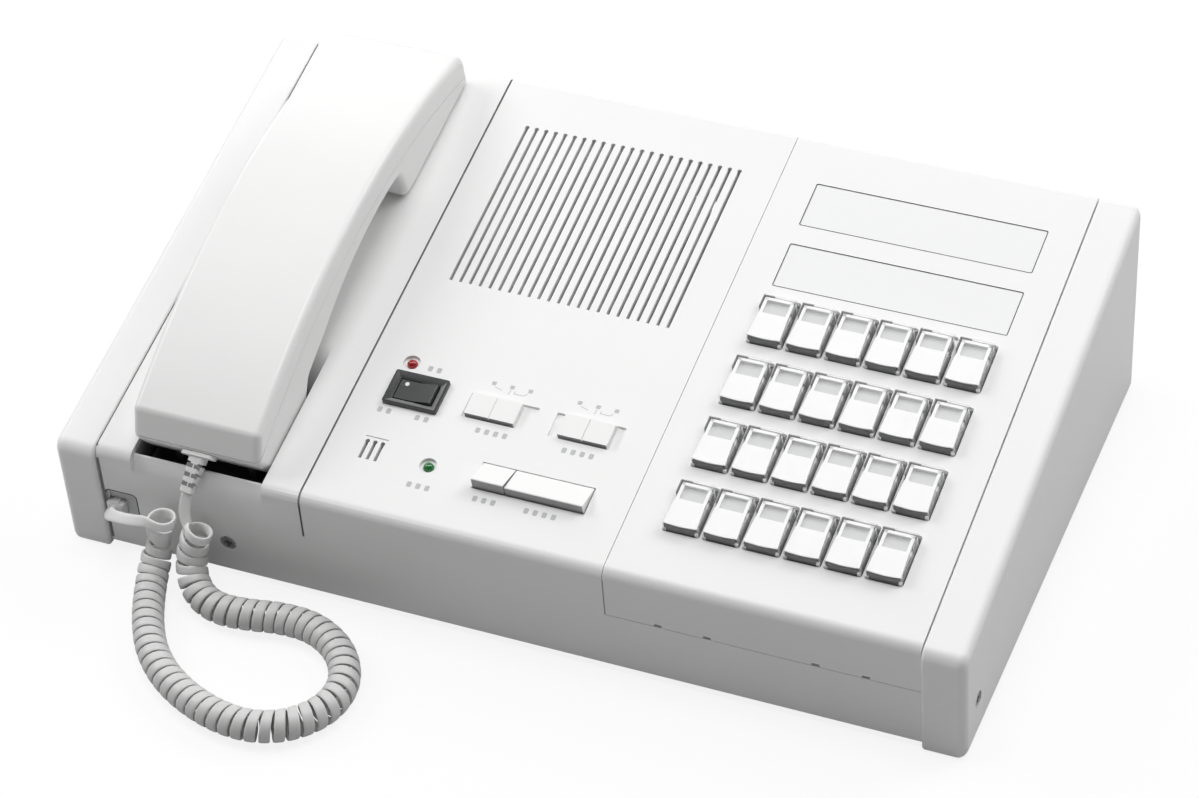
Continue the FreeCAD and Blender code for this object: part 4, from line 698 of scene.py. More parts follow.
class INTERCOM_OT_insides(Operator):
    """Finish the loudspeaker, boards, switches and capsules that show through openings"""

    bl_idname = "intercom.insides"
    bl_label = "Insides"

    def execute(self, context):
        for finish, nodes in INSIDES.items():
            for node in nodes:
                coat(node, finish_of(finish))
        return {"FINISHED"}


# ---------------------------------------------------------------- keypad
# A key's sizes and heights count from its middle on the deck's surface.
KEY_ROWS = 4
KEY_COLUMNS = 6
KEY_FRONT_S = 38.6          # middle of the front row on the deck
KEY_WIDTH = 15.4
KEY_LENGTH = 25.0
KEY_TOP = 4.4
KEY_FOOT = -2.6
KEY_CORNER = 1.2
KEY_EDGE = 0.7              # round-over of the cap's top
KEY_WALL_TOP = 0.3          # where its straight wall ends
KEY_REAR_LEAN = 1.6         # the rear wall leans in by this much at the top
LABEL_FRONT_HALF = 7.2
LABEL_REAR_HALF = 6.6
LABEL_FRONT = 0.45          # from the cap's front
LABEL_SINK = 0.08
LABEL_THICKNESS = 0.5
LAMP_HALF = 6.5             # outside of the rim round the lamp window
LAMP_REAR = 9.6
LAMP_RIM_SINK = 0.5
LAMP_FOOT = 0.5
LAMP_SINK = 0.75
LAMP_FALL = 1.5             # the window sinks by this much to the rear
LAMP_LAP = 0.05             # it runs under the rim
LAMP_FRONT_LAP = 0.5        # and under the label
# Blocks inside the clear cap: from and to along x, s and n, and how far the top edge in front leans back.
KEY_BODY = (
    (-6.9, 6.9, -10.4, 10.0, KEY_FOOT, 2.2),
    (-7.6, -6.2, -12.45, -11.4, -0.6, 1.6),
    (6.2, 7.6, -12.45, -11.4, -0.6, 1.6),
)
# Painted shade: dark blocks behind the front wall, and left of and behind the lamp's rim, where shadow falls
# under the cap and in its gap.
KEY_SHADES = (
    (-6.9, 6.3, -12.35, -10.5, KEY_FOOT, KEY_TOP - 0.65, 0.25),
    (-7.5, -6.9, 4.0, 10.2, 0.0, KEY_TOP - 0.35),
    (-7.5, -2.6, 9.8, 10.5, 0.0, KEY_TOP - 0.35),
)
# Painted shade: grey blocks beside the body and the lamp's rim, for the dark streaks along each cap's right
# side.
KEY_SIDE_SHADES = (
    (6.95, 7.3, -8.5, 0.5, -1.0, 2.4),
    (6.65, 7.2, 3.5, 8.0, 0.0, KEY_TOP - 0.6),
)


class INTERCOM_OT_keys(Operator):
    """Make the call keys: clear cap, label plate, lamp window, and painted shade in dark blocks inside the
    cap
    """

    bl_idname = "intercom.keys"
    bl_label = "Call keys"

    def execute(self, context):
        keys = context.scene.intercom_keys
        step = -KEY_LENGTH / 2 + KEY_LENGTH * keys.label_share
        bow, rim = keys.front_bow / MM, keys.rim / MM
        label = [self.plate(step, bow)] + self.blocks(KEY_BODY) + self.rim(step, rim)
        pieces = (
            ("_cap", finish_of("key_cap_clear"), [self.cap()]),
            ("_label", finish_of("key_label_white", color=keys.label_color), label),
            ("_lamp_window", finish_of("key_lamp_window", color=keys.lamp_color), [self.window(step, rim)]),
            # Painted shade: dark blocks inside each cap.
            ("_shade", finish_of("key_shade_grey", color=keys.shade_color), self.blocks(KEY_SHADES)),
            ("_side_shade", finish_of("key_side_grey"), self.blocks(KEY_SIDE_SHADES)),
        )
        for row in range(1, KEY_ROWS + 1):
            for column in range(1, KEY_COLUMNS + 1):
                node = "key_r%dc%d" % (row, column)
                at = (middle_x(node), self.middle_s(row, column), 0.0)
                for name, material, parts in pieces:
                    nodes = [node] if name == "_cap" else ()
                    made_piece(node + name, parts, deck_point, node, material, nodes, at, 30.0)
        return {"FINISHED"}

    def middle_s(self, row, column):
        """Middle of a key up the deck: the front row's, and the way up the slope between their solids."""
        low, front = (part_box("key_r%dc%d" % (r, column))[0] for r in (row, KEY_ROWS))
        return KEY_FRONT_S + math.hypot(low.y - front.y, low.z - front.z) / MM

    def blocks(self, rows):
        """A plain block for each row of a table."""
        return [brick(*row) for row in rows]

    def cap(self):
        """Clear cap: rounded-rectangle rings over its wall and round-over, the rear wall leaning in."""
        profile = [(0.0, KEY_FOOT), (0.0, KEY_WALL_TOP)]
        for angle in np.linspace(0.0, math.pi / 2, 4):
            profile.append((KEY_EDGE * (1 - math.cos(angle)), KEY_TOP - KEY_EDGE * (1 - math.sin(angle))))
        points, faces = stacked_pad(0, 0, KEY_WIDTH, KEY_LENGTH, KEY_CORNER, profile)
        rise = np.clip(points[:, 2] / KEY_TOP, 0.0, 1.0)
        rear = np.clip((points[:, 1] - KEY_LENGTH / 4) / (KEY_LENGTH / 4), 0.0, 1.0)
        points[:, 1] -= KEY_REAR_LEAN * rise * rear
        return points, faces

    def plate(self, step, bow):
        """Name label: a thin plate a little wider in front, its front edge a shallow arc."""
        turn = np.linspace(-1.0, 1.0, 13)
        front = -KEY_LENGTH / 2 + LABEL_FRONT
        edge = np.column_stack([turn * LABEL_FRONT_HALF, front + bow * turn ** 2])
        outline = np.concatenate([edge, [(LABEL_REAR_HALF, step), (-LABEL_REAR_HALF, step)]])
        top = KEY_TOP - LABEL_SINK
        return prism(outline, top - LABEL_THICKNESS, top)

    def rim(self, step, rim):
        """White rim round the lamp window: two sides and a rear bar."""
        rows = (
            (-LAMP_HALF, -LAMP_HALF + rim, step, LAMP_REAR),
            (LAMP_HALF - rim, LAMP_HALF, step, LAMP_REAR),
            (-LAMP_HALF, LAMP_HALF, LAMP_REAR - rim, LAMP_REAR),
        )
        return [brick(*row, 0.0, KEY_TOP - LAMP_RIM_SINK) for row in rows]

    def window(self, step, rim):
        """Lamp window: a slab whose top sinks to the rear, so that its rear lies in the shade of the rim."""
        half, rear = LAMP_HALF - rim + LAMP_LAP, LAMP_REAR - rim + LAMP_LAP
        points, faces = brick(-half, half, step - LAMP_FRONT_LAP, rear, LAMP_FOOT, KEY_TOP - LAMP_SINK)
        points[6:, 2] -= LAMP_FALL
        return points, faces


WINDOW_MIDDLES_S = (202.8, 168.6)
WINDOW_WIDTH = 102.4
WINDOW_LENGTH = 23.4
WINDOW_CORNER = 0.8
WINDOW_SEAM = ((-0.2, 0.015), (0.18, 0.015))    # its outer and inner edge, as inset and height


class INTERCOM_OT_labels(Operator):
    """Finish the name-card windows, their seams and the blank cards"""

    bl_idname = "intercom.labels"
    bl_label = "Name cards"

    def execute(self, context):
        coat("label_cards", finish_of("paper_card"))
        dressed("label_windows", "label_window_sheets", finish_of("window_clear"))
        x, shape = middle_x("label_windows"), (WINDOW_WIDTH, WINDOW_LENGTH, WINDOW_CORNER, WINDOW_SEAM)
        strips = [stacked_pad(x, s, *shape, cover=grid_faces) for s in WINDOW_MIDDLES_S]
        made_piece("label_window_seams", strips, deck_point, ROOT, finish_of("seam_dark"))
        return {"FINISHED"}


# ---------------------------------------------------------------- controls
LED_RADIUS = 2.25
LED_COLLAR = 0.5
LED_WELL_DEPTH = 1.6
LED_LENGTH = 8.0
RED_LED_S = 78.0
GREEN_LED_S = 30.0
# Rocker's bezel: (inset, n) up its wall, over the flat rim, down the slope and the opening's wall, and back.
BEZEL_WIDTH = 24.4
BEZEL_LENGTH = 17.2
BEZEL_CORNER = 0.8
BEZEL_MIDDLE_S = 63.4
BEZEL_PROFILE = (
    (0.0, 0.0), (0.0, 1.8), (1.0, 1.8), (3.2, 0.6), (3.2, -11.0), (2.2, -13.0), (2.2, 0.0), (0.0, 0.0),
)
BEZEL_SLOPE = math.atan2(1.2, 2.2)      # the slope drops 1.2 over a run of 2.2
# Dot on the rocker: its way left of the middle, its s, its (radius, height) profile, and the drop's start.
MARK_ASIDE = 5.2
MARK_S = 66.4
MARK_RADIUS = 0.95
MARK_PROFILE = ((MARK_RADIUS, -0.2), (MARK_RADIUS, 0.05), (MARK_RADIUS * 0.6, 0.09))
MARK_DROP = 20.0
# Knobs: the finish with painted shade for the faces that look away from the lamps, and the ways those faces
# look.
KNOBS = {
    "slide_knob_left": ("slide_front_grey", (-DECK_UP,)),
    "slide_knob_right": ("slide_front_grey", (-DECK_UP,)),
    "push_key_left": ("push_front_grey", (-DECK_UP, RIGHT)),
    "push_key_right": ("push_front_grey", (-DECK_UP,)),
}


class INTERCOM_OT_controls(Operator):
    """Finish the rocker, slides, push keys and indicators"""

    bl_idname = "intercom.controls"
    bl_label = "Controls"

    def execute(self, context):
        controls = context.scene.intercom_controls
        white = finish_of("knob_white")
        self.rocker_mark(white)
        self.bezel()
        grey_finish = finish_of("rocker_grey", color=controls.rocker_color)
        dressed("rocker_paddle", "rocker_paddle_piece", grey_finish)
        for node, (shade, ways) in KNOBS.items():
            # Painted shade on the knobs' faces that look away from the lamps.
            paint_light_by_facing(dressed(node, node + "_piece", white), finish_of(shade), ways)
        self.lens("red_led", RED_LED_S, controls.red, "lens_red")
        self.lens("green_led", GREEN_LED_S, controls.green, "lens_green")
        return {"FINISHED"}

    def bezel(self):
        """Bezel of the rocker: rounded-rectangle rings, with painted light on the slopes that look rearward
        and left, towards the lamps.
        """
        shape = (BEZEL_WIDTH, BEZEL_LENGTH, BEZEL_CORNER, BEZEL_PROFILE, 4, grid_faces)
        frame_part = stacked_pad(middle_x("rocker_frame"), BEZEL_MIDDLE_S, *shape)
        obj = made_piece("rocker_bezel", [frame_part], deck_point, ROOT, finish_of("rocker_bezel"),
                         ["rocker_frame"], smooth_angle=30.0)
        # Painted light: a lighter finish on the slopes that face the lamps.
        out, along = DECK_OUT * math.cos(BEZEL_SLOPE), math.sin(BEZEL_SLOPE)
        paint_light_by_facing(obj, finish_of("rocker_bezel_slope"), (out + DECK_UP * along, out - RIGHT * along))

    def rocker_mark(self, white):
        """White dot in the paddle: a low turned disc where a line down the deck's normal meets it."""
        tree = BVHTree.FromObject(frame["nodes"]["rocker_paddle"], bpy.context.evaluated_depsgraph_get())
        start = Vector(deck_point((middle_x("rocker_paddle") - MARK_ASIDE, MARK_S, MARK_DROP)))
        foot, normal, _, _ = tree.ray_cast(start, -DECK_OUT)
        if foot is None:
            raise RuntimeError("no surface of the rocker under its mark")
        points, faces = revolved(MARK_PROFILE, 14)
        turn = np.array(normal.to_track_quat("Z", "Y").to_matrix())
        obj = mesh_object("rocker_paddle_mark", points * MM @ turn.T + np.array(foot), faces)
        finish_piece(obj, "rocker", white)

    def lens(self, node, s, color, slot):
        """Indicator lens, turned about its axis: a collar under the deck, a barrel and a half-round dome."""
        collar = LED_RADIUS + LED_COLLAR
        foot = LED_RADIUS - LED_WELL_DEPTH - LED_LENGTH
        profile = [(collar, foot), (collar, -CASE_WALL), (LED_RADIUS, -CASE_WALL)]
        for angle in np.linspace(0, math.pi / 2, 10):
            profile.append((LED_RADIUS * math.cos(angle), LED_RADIUS * math.sin(angle) - LED_WELL_DEPTH))
        tinted = finish_of(node + "_tint", color=color)
        at = (middle_x(node), s, 0.0)
        made_piece(node + "_lens", [revolved(profile)], deck_point, ROOT, tinted, [node], at, 40.0)


# ---------------------------------------------------------------- printed marks
INK_HEIGHT = 0.04
PRINT_PITCH = 4.0
PRINT_SIZE = (2.025, 2.7, 0.5)      # width, length and corner of a small mark
# Rows of small marks: the piece they stand by, their way to the right of it, their s, and how many.
PRINT_ROWS = (
    ("rocker_frame", -9.8, 51.6, 2),
    ("rocker_frame", 7.2, 51.6, 2),
    ("slide_knob_left", 3.3, 52.4, 4),
    ("slide_knob_right", 0.3, 52.4, 4),
    ("green_led", 0.0, 19.0, 3),
    ("red_led", 11.0, 77.0, 2),
    ("push_key_left", 0.0, 19.6, 3),
    ("push_key_right", 0.0, 19.6, 4),
)
# Middle of each slide's recess, to the right of its knob: the left knob rests at the left end of its travel.
SLIDE_RECESSES = {"slide_knob_left": 3.0, "slide_knob_right": 0.0}
PLACES_S = 77.0
PLACE_SIZE = (1.9, 1.9, 0.3)
PLACE_REACH = 8.2
STROKE_WIDTH = 0.3
# Strokes from the marks over a slide's places towards the slide: start and end from the middle mark.
STROKES = (
    ((-7.2, -1.6), (-3.6, -2.6)), ((0.0, -1.4), (-0.5, -4.0)), ((2.0, -1.6), (2.0, -3.0)),
    ((2.0, -3.0), (6.2, -3.0)), ((6.2, -3.0), (7.4, -1.6)),
)


class INTERCOM_OT_print(Operator):
    """Print the plain marks of the middle panel"""

    bl_idname = "intercom.print"
    bl_label = "Printed marks"

    def execute(self, context):
        parts = []
        for node, aside, s, count in PRINT_ROWS:
            first = middle_x(node) + aside - PRINT_PITCH * (count - 1) / 2
            parts += [self.mark(first + PRINT_PITCH * i, s, PRINT_SIZE) for i in range(count)]
        for node, aside in SLIDE_RECESSES.items():
            x = middle_x(node) + aside
            for reach in (-PLACE_REACH, 0.0, PLACE_REACH):
                parts.append(self.mark(x + reach, PLACES_S, PLACE_SIZE))
            parts += [self.stroke(np.array((x, PLACES_S)) + stroke) for stroke in STROKES]
        ink = finish_of("print_grey", color=context.scene.intercom_controls.print_color)
        made_piece("printed_marks", parts, deck_point, ROOT, ink)
        return {"FINISHED"}

    def mark(self, x, s, size):
        """A small rounded square of ink."""
        return stacked_pad(x, s, *size, [(0.0, 0.0), (0.0, INK_HEIGHT)], 3)

    def stroke(self, ends):
        """A thin flat bar of ink from its start to its end."""
        start, end = ends
        along = unit(end - start)
        across = np.array([-along[1], along[0]]) * STROKE_WIDTH / 2
        return prism([start - across, end - across, end + across, start + across], 0.0, INK_HEIGHT)


# ---------------------------------------------------------------- handset
HANDSET_SHARP = 24.0        # degrees between faces that keep an edge
# Strain relief: root at the handset and tip at the cord, with width and thickness there. Its windows: first
# and last row as shares of the way down, place and half width as shares of the width, half length and depth.
RELIEF_ROOT = np.array([-134.0, 6.5, 61.9])
RELIEF_TIP = np.array([-136.0, -5.2, 49.3])
RELIEF_ROOT_SIZE = np.array([8.4, 5.4])
RELIEF_TIP_SIZE = np.array([6.6, 4.2])
RELIEF_ROWS = (0.34, 0.8)
RELIEF_WINDOW_PLACE = 0.22
RELIEF_WINDOW_HALF = 0.18
RELIEF_WINDOW_LENGTH = 0.85
RELIEF_WINDOW_DEPTH = 0.06
JACK_CORNER = 2.0
JACK_SEAM = ((-0.45, -0.02), (0.05, -0.02))     # outer and inner edge, as inset and place in y


class INTERCOM_OT_handset(Operator):
    """Finish the handset shells, the strain relief with its windows, the socket and the plug"""

    bl_idname = "intercom.handset"
    bl_label = "Handset"

    def execute(self, context):
        handset = context.scene.intercom_handset
        white = finish_of("handset_white", color=handset.color, roughness=handset.roughness)
        dressed("handset_top_shell", "handset_top", white, HANDSET_SHARP)
        dressed("handset_bottom_shell", "handset_bottom", white, HANDSET_SHARP)
        dressed("handset_relief", "handset_relief_piece", finish_of("cord_grip"), 30.0)
        self.relief_windows(handset.relief_rows)
        dressed("handset_jack", "handset_jack_piece", finish_of("jack_grey"))
        self.jack_joint()
        dressed("cord_plug", "cord_plug_piece", finish_of("plug_white"))
        return {"FINISHED"}

    def jack_joint(self):
        """Dark joint round the socket's insert: a strip between two rounded rectangles on the front wall."""
        low, high = (np.array(corner)[[0, 2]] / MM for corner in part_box("handset_jack"))
        x, z = (low + high) / 2
        points, faces = stacked_pad(x, z, *(high - low), JACK_CORNER, JACK_SEAM, cover=grid_faces)
        strip = (points[:, [0, 2, 1]], faces)
        made_piece("handset_jack_joint", [strip], case_point, ROOT, finish_of("seam_dark"))

    def relief_windows(self, rows):
        """Painted shade of the relief's windows: two columns of thin dark plates on its front face, row by
        row.
        """
        down = unit(RELIEF_TIP - RELIEF_ROOT)
        across = unit(np.array(RIGHT) - down * down[0])
        out = np.cross(down, across)
        parts = []
        for share in np.linspace(*RELIEF_ROWS, rows):
            width, thick = RELIEF_ROOT_SIZE + (RELIEF_TIP_SIZE - RELIEF_ROOT_SIZE) * share
            front = RELIEF_ROOT + (RELIEF_TIP - RELIEF_ROOT) * share + out * thick / 2
            half = np.array([
                across * width * RELIEF_WINDOW_HALF, down * RELIEF_WINDOW_LENGTH, out * RELIEF_WINDOW_DEPTH,
            ])
            for side in (-1, 1):
                points, faces = brick(-1, 1, -1, 1, -1, 1)
                parts.append((front + across * side * width * RELIEF_WINDOW_PLACE + points @ half, faces))
        shade = finish_of("relief_window_shade")
        made_piece("handset_relief_windows", parts, case_point, "handset", shade)


# ---------------------------------------------------------------- cord
# Control points of the cord's route, in millimetres in the case's frame.
BASE_LEAD = (
    (-175.5, -1.6, 24.0), (-176.4, -6.0, 26.0), (-171.0, -10.4, 29.6), (-160.0, -14.4, 34.2),
    (-150.0, -15.0, 37.0),
)
COIL = (
    (-147.8, -9.4, 38.5), (-149.6, -9.4, 27.0), (-151.4, -12.4, 16.0), (-150.8, -21.0, 8.9),
    (-147.2, -31.6, 7.2), (-141.6, -43.6, 7.1), (-133.4, -56.4, 7.1), (-121.8, -67.6, 7.1),
    (-107.6, -75.8, 7.1), (-91.0, -81.4, 7.1), (-74.0, -82.2, 7.1), (-59.4, -75.6, 7.1),
    (-49.6, -62.6, 7.1), (-49.0, -46.8, 7.1), (-58.0, -32.4, 7.1), (-73.0, -23.6, 7.1),
    (-89.0, -22.6, 7.1), (-104.0, -25.6, 7.1), (-117.0, -26.6, 7.2), (-127.6, -22.6, 7.8),
    (-134.4, -15.6, 11.9), (-135.4, -10.6, 20.6), (-132.6, -9.4, 29.6), (-129.2, -9.4, 38.2),
)
HANDSET_LEAD = ((-135.2, -10.6, 33.6), (-136.8, -9.4, 38.2), (-137.0, -7.8, 43.6), (-136.1, -5.8, 48.6))
BASE_POINTS = 44            # points of the free leads, and how many each gives up to its joint with the coil
HANDSET_POINTS = 30
BASE_GIVEN = 6
HANDSET_GIVEN = 4
BASE_FLAT = (-0.3, -0.62, 0.72)         # way that the cord's flat side looks at the plug and at the relief
HANDSET_FLAT = (0.35, -0.93, 0.1)
POINTS_PER_TURN = 40
COIL_TRIM = (0.0035, 0.005)             # the coil's axis without its ends, in metres as all that follow
COIL_RISE = 0.040                       # last part of it, which stretches with the handset
COIL_LAST_WAY = np.array([-0.6, -0.8, 0.0])
# Swellings along the coil as height, middle and width, counted from its start, and the last one from its end.
STRETCH = (1.6, 0.0095, 0.005)          # turns drawn apart after the first ring
WAIST = (0.34, 0.0125, 0.006)           # smaller radius there
SPREAD = (0.65, 0.0105, 0.0055)         # wider cord there
LOOSENING = (0.5, 0.0, 0.018)           # turns a little apart towards the handset
START_CONE = (0.05, 0.004)              # share and reach by which the coil narrows at its ends
END_CONE = (0.1, 0.005)
BLEND_POINTS = 17                       # cord points over which its width is evened out
CORD_SQUARENESS = 0.55                  # power of its cross-section's superellipse, 1 for an ellipse


def spline_line(points_mm, resolution=24):
    """Points of the smooth NURBS curve whose control points are given, in metres."""
    curve = bpy.data.curves.new("route", "CURVE")
    curve.dimensions = "3D"
    curve.resolution_u = resolution
    spline = curve.splines.new("NURBS")
    control = case_point(points_mm)
    spline.points.add(len(control) - 1)
    spline.points.foreach_set("co", np.column_stack([control, np.ones(len(control))]).ravel())
    spline.order_u = 3
    spline.use_endpoint_u = True
    obj = bpy.data.objects.new("route", curve)
    mesh = bpy.data.meshes.new_from_object(obj)
    line = values_of(mesh.vertices, "co", 3)
    bpy.data.meshes.remove(mesh)
    bpy.data.objects.remove(obj)
    bpy.data.curves.remove(curve)
    return line


def arc_lengths(line):
    """Distance along the line to each of its points."""
    return np.concatenate([[0.0], np.cumsum(np.linalg.norm(np.diff(line, axis=0), axis=1))])


def at_lengths(line, lengths):
    """The line's points at the given distances from its start."""
    along = arc_lengths(line)
    return np.stack([np.interp(lengths, along, line[:, k]) for k in range(3)], axis=-1)


def even_line(points_mm, count):
    """That many evenly spaced points of the curve with these control points."""
    line = spline_line(points_mm)
    return at_lengths(line, np.linspace(0, arc_lengths(line)[-1], count))


def carried_frames(line, start_normal):
    """Tangents, and normals carried along the line without twist, each laid square to the next tangent."""
    tangent = unit(np.gradient(line, axis=0))
    normal = np.zeros_like(line)
    current = np.asarray(start_normal, float)
    for i in range(len(line)):
        current = unit(current - tangent[i] * (current @ tangent[i]))
        normal[i] = current
    return tangent, normal


def bridge(start, end, count=10):
    """Points of the smooth cubic from the end of one line to the start of the next, without its two ends."""
    gap = np.linalg.norm(end[0] - start[-1])
    leave, arrive = unit(start[-1] - start[-2]) * gap, unit(end[1] - end[0]) * gap
    t = np.linspace(0.0, 1.0, count + 2)[1:-1, None]
    return (
        (2 * t ** 3 - 3 * t ** 2 + 1) * start[-1] + (t ** 3 - 2 * t ** 2 + t) * leave
        + (3 * t ** 2 - 2 * t ** 3) * end[0] + (t ** 3 - t ** 2) * arrive
    )


def swelling(x, height, middle, width):
    """A smooth bump of the height about its middle, which fades away over its width."""
    return height * np.exp(-(((x - middle) / width) ** 2))


def turned(start, end, count):
    """Directions that turn from start to end, quickly at first and then hardly at all."""
    share = 1 - (1 - np.linspace(0, 1, count)[:, None]) ** 3
    return unit((1 - share) * np.asarray(start) + share * np.asarray(end))


def ribbon_rings(centre, outward, width, thickness, around=12):
    """Rings of a flat cord: a superellipse of width and thickness along centre, its flat side outward."""
    tangent = unit(np.gradient(centre, axis=0))
    flat = unit(outward - tangent * np.sum(outward * tangent, axis=-1, keepdims=True))
    wide = np.cross(flat, tangent)
    angle = np.linspace(0, 2 * math.pi, around, endpoint=False) + math.pi / around
    a = np.sign(np.cos(angle)) * np.abs(np.cos(angle)) ** CORD_SQUARENESS
    b = np.sign(np.sin(angle)) * np.abs(np.sin(angle)) ** CORD_SQUARENESS
    return (
        centre[:, None, :]
        + wide[:, None, :] * a[None, :, None] * width[:, None, None] / 2
        + flat[:, None, :] * b[None, :, None] * thickness[:, None, None] / 2
    )


class INTERCOM_OT_cord(Operator):
    """Make the curly cord from the socket to the handset"""

    bl_idname = "intercom.cord"
    bl_label = "Curly cord"

    def execute(self, context):
        cord = context.scene.intercom_cord
        helix, spoke, width, rise = self.helix(cord)
        first = even_line(BASE_LEAD, BASE_POINTS)[:-BASE_GIVEN]
        last = even_line(HANDSET_LEAD, HANDSET_POINTS)[HANDSET_GIVEN:]
        into, out = bridge(first, helix), bridge(helix, last)
        centre = np.concatenate([first, into, helix, out, last])
        start, after = len(first) + len(into), len(out) + len(last)
        outward = np.concatenate([
            turned(spoke[0], BASE_FLAT, start)[::-1], spoke, turned(spoke[-1], HANDSET_FLAT, after),
        ])
        widths = np.concatenate([np.full(start, cord.width), width, np.full(after, cord.width)])
        widths = np.pad(widths, BLEND_POINTS // 2, mode="edge")
        widths = np.convolve(widths, np.full(BLEND_POINTS, 1 / BLEND_POINTS), mode="valid")
        boot = swelling(arc_lengths(centre), cord.boot, 0.0, cord.boot_length)
        rings = ribbon_rings(centre, outward, widths + boot, cord.thickness + boot / 2)
        split = start + rise
        run = self.piece("cord_run", rings[:split + 1], cord)
        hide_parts("cord_lead_base", "cord_coil")
        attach(run, ROOT)
        self.lay(run, centre[:split + 1], 0, "cord_plug_piece", cord.width)
        climb = self.piece("cord_rise", rings[split:], cord)
        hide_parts("cord_lead_handset")
        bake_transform(climb)
        self.lay(climb, centre[split:], -1, "handset_relief_piece", cord.width)
        return {"FINISHED"}

    def helix(self, cord):
        """Left-handed turns round the coil's axis: at each point a spoke of the radius, turned by the pitch.

        Gives the points, the spokes, the cord's widths, and the index where the rise to the handset starts.
        The phase is scaled a little so that the last spoke meets the lead at the front left."""
        axis_line = spline_line(COIL)
        total = arc_lengths(axis_line)[-1]
        lengths = np.linspace(COIL_TRIM[0], total - COIL_TRIM[1], int(total / cord.pitch * POINTS_PER_TURN))
        from_start, from_end = lengths - lengths[0], lengths[-1] - lengths
        axis = at_lengths(axis_line, lengths)
        tangent, normal = carried_frames(axis, (0.0, -1.0, 0.0))
        side = np.cross(normal, tangent)
        pitch = cord.pitch * (1 + swelling(from_start, *STRETCH)) * (1 + swelling(from_end, *LOOSENING))
        turn = np.diff(lengths) * 2 * math.pi / ((pitch[1:] + pitch[:-1]) / 2)
        phase = np.concatenate([[0.0], np.cumsum(turn)])
        last = math.atan2(COIL_LAST_WAY @ side[-1], COIL_LAST_WAY @ normal[-1])
        turns = round((phase[-1] - last) / (2 * math.pi))
        phase *= (last + 2 * math.pi * turns) / phase[-1]
        spoke = normal * np.cos(phase)[:, None] + side * np.sin(phase)[:, None]
        narrow = START_CONE[0] * np.exp(-from_start / START_CONE[1]) + swelling(from_start, *WAIST)
        radius = cord.coil_radius * (1 - narrow) * (1 - END_CONE[0] * np.exp(-from_end / END_CONE[1]))
        bend = np.gradient(tangent, axis=0) / np.gradient(lengths)[:, None]
        squeeze = 1 - np.sum(bend * spoke, axis=-1) * radius
        spread = 1 + swelling(from_start, *SPREAD)
        width = np.minimum(cord.width * spread, cord.closeness * pitch * squeeze)
        return axis + spoke * radius[:, None], spoke, width, int(np.searchsorted(lengths, total - COIL_RISE))

    def piece(self, name, rings, cord):
        """A closed tube through the rings, darker near the table."""
        rows, around = rings.shape[:2]
        obj = mesh_object(name, rings, tube_faces(rows, around), 50.0)
        height = (rings.reshape(-1, 3)[:, 2] - cord.darkest_height) / (cord.lightest_height - cord.darkest_height)
        share = np.clip(height, 0.0, 1.0)[:, None]
        set_tone(obj.data, (1 - share) * np.array(cord.color) + share * np.array(cord.upper_color))
        obj.data.materials.append(finish_of("cord_vinyl", color=cord.color))
        return obj

    def lay(self, obj, centre, end, end_piece, width):
        """Does nothing; the piece stays as it is made."""


# ---------------------------------------------------------------- stage
CAMERA_PLACE = (524.44, -996.01, 1159.46)
CAMERA_RIGHT = (0.92504017, 0.37468392, -0.06255104)
CAMERA_UP = (-0.21118856, 0.64412834, 0.73518574)
CAMERA_BACK = (0.31575318, -0.66686628, 0.67497355)
# Lamps: bearing from the right, counted to the rear, and height angle, in degrees. Settings hold their watts.
LAMPS = {
    "overhead": (0, 90), "rear_right": (45, 42), "left": (180, 42), "rear_left": (135, 20), "rear": (90, 42),
}
LAMP_AIM = Vector((0.0, 0.0, 0.05))
FLOOR_REACH = 6.0
FLOOR_GREY = grey(0.6)      # to the lamps
FLOOR_WHITE = grey(0.95)    # to the camera
FLOOR_GLOW = 0.85           # share of plain white in what the camera sees
WHITE = (1.0, 1.0, 1.0, 1.0)


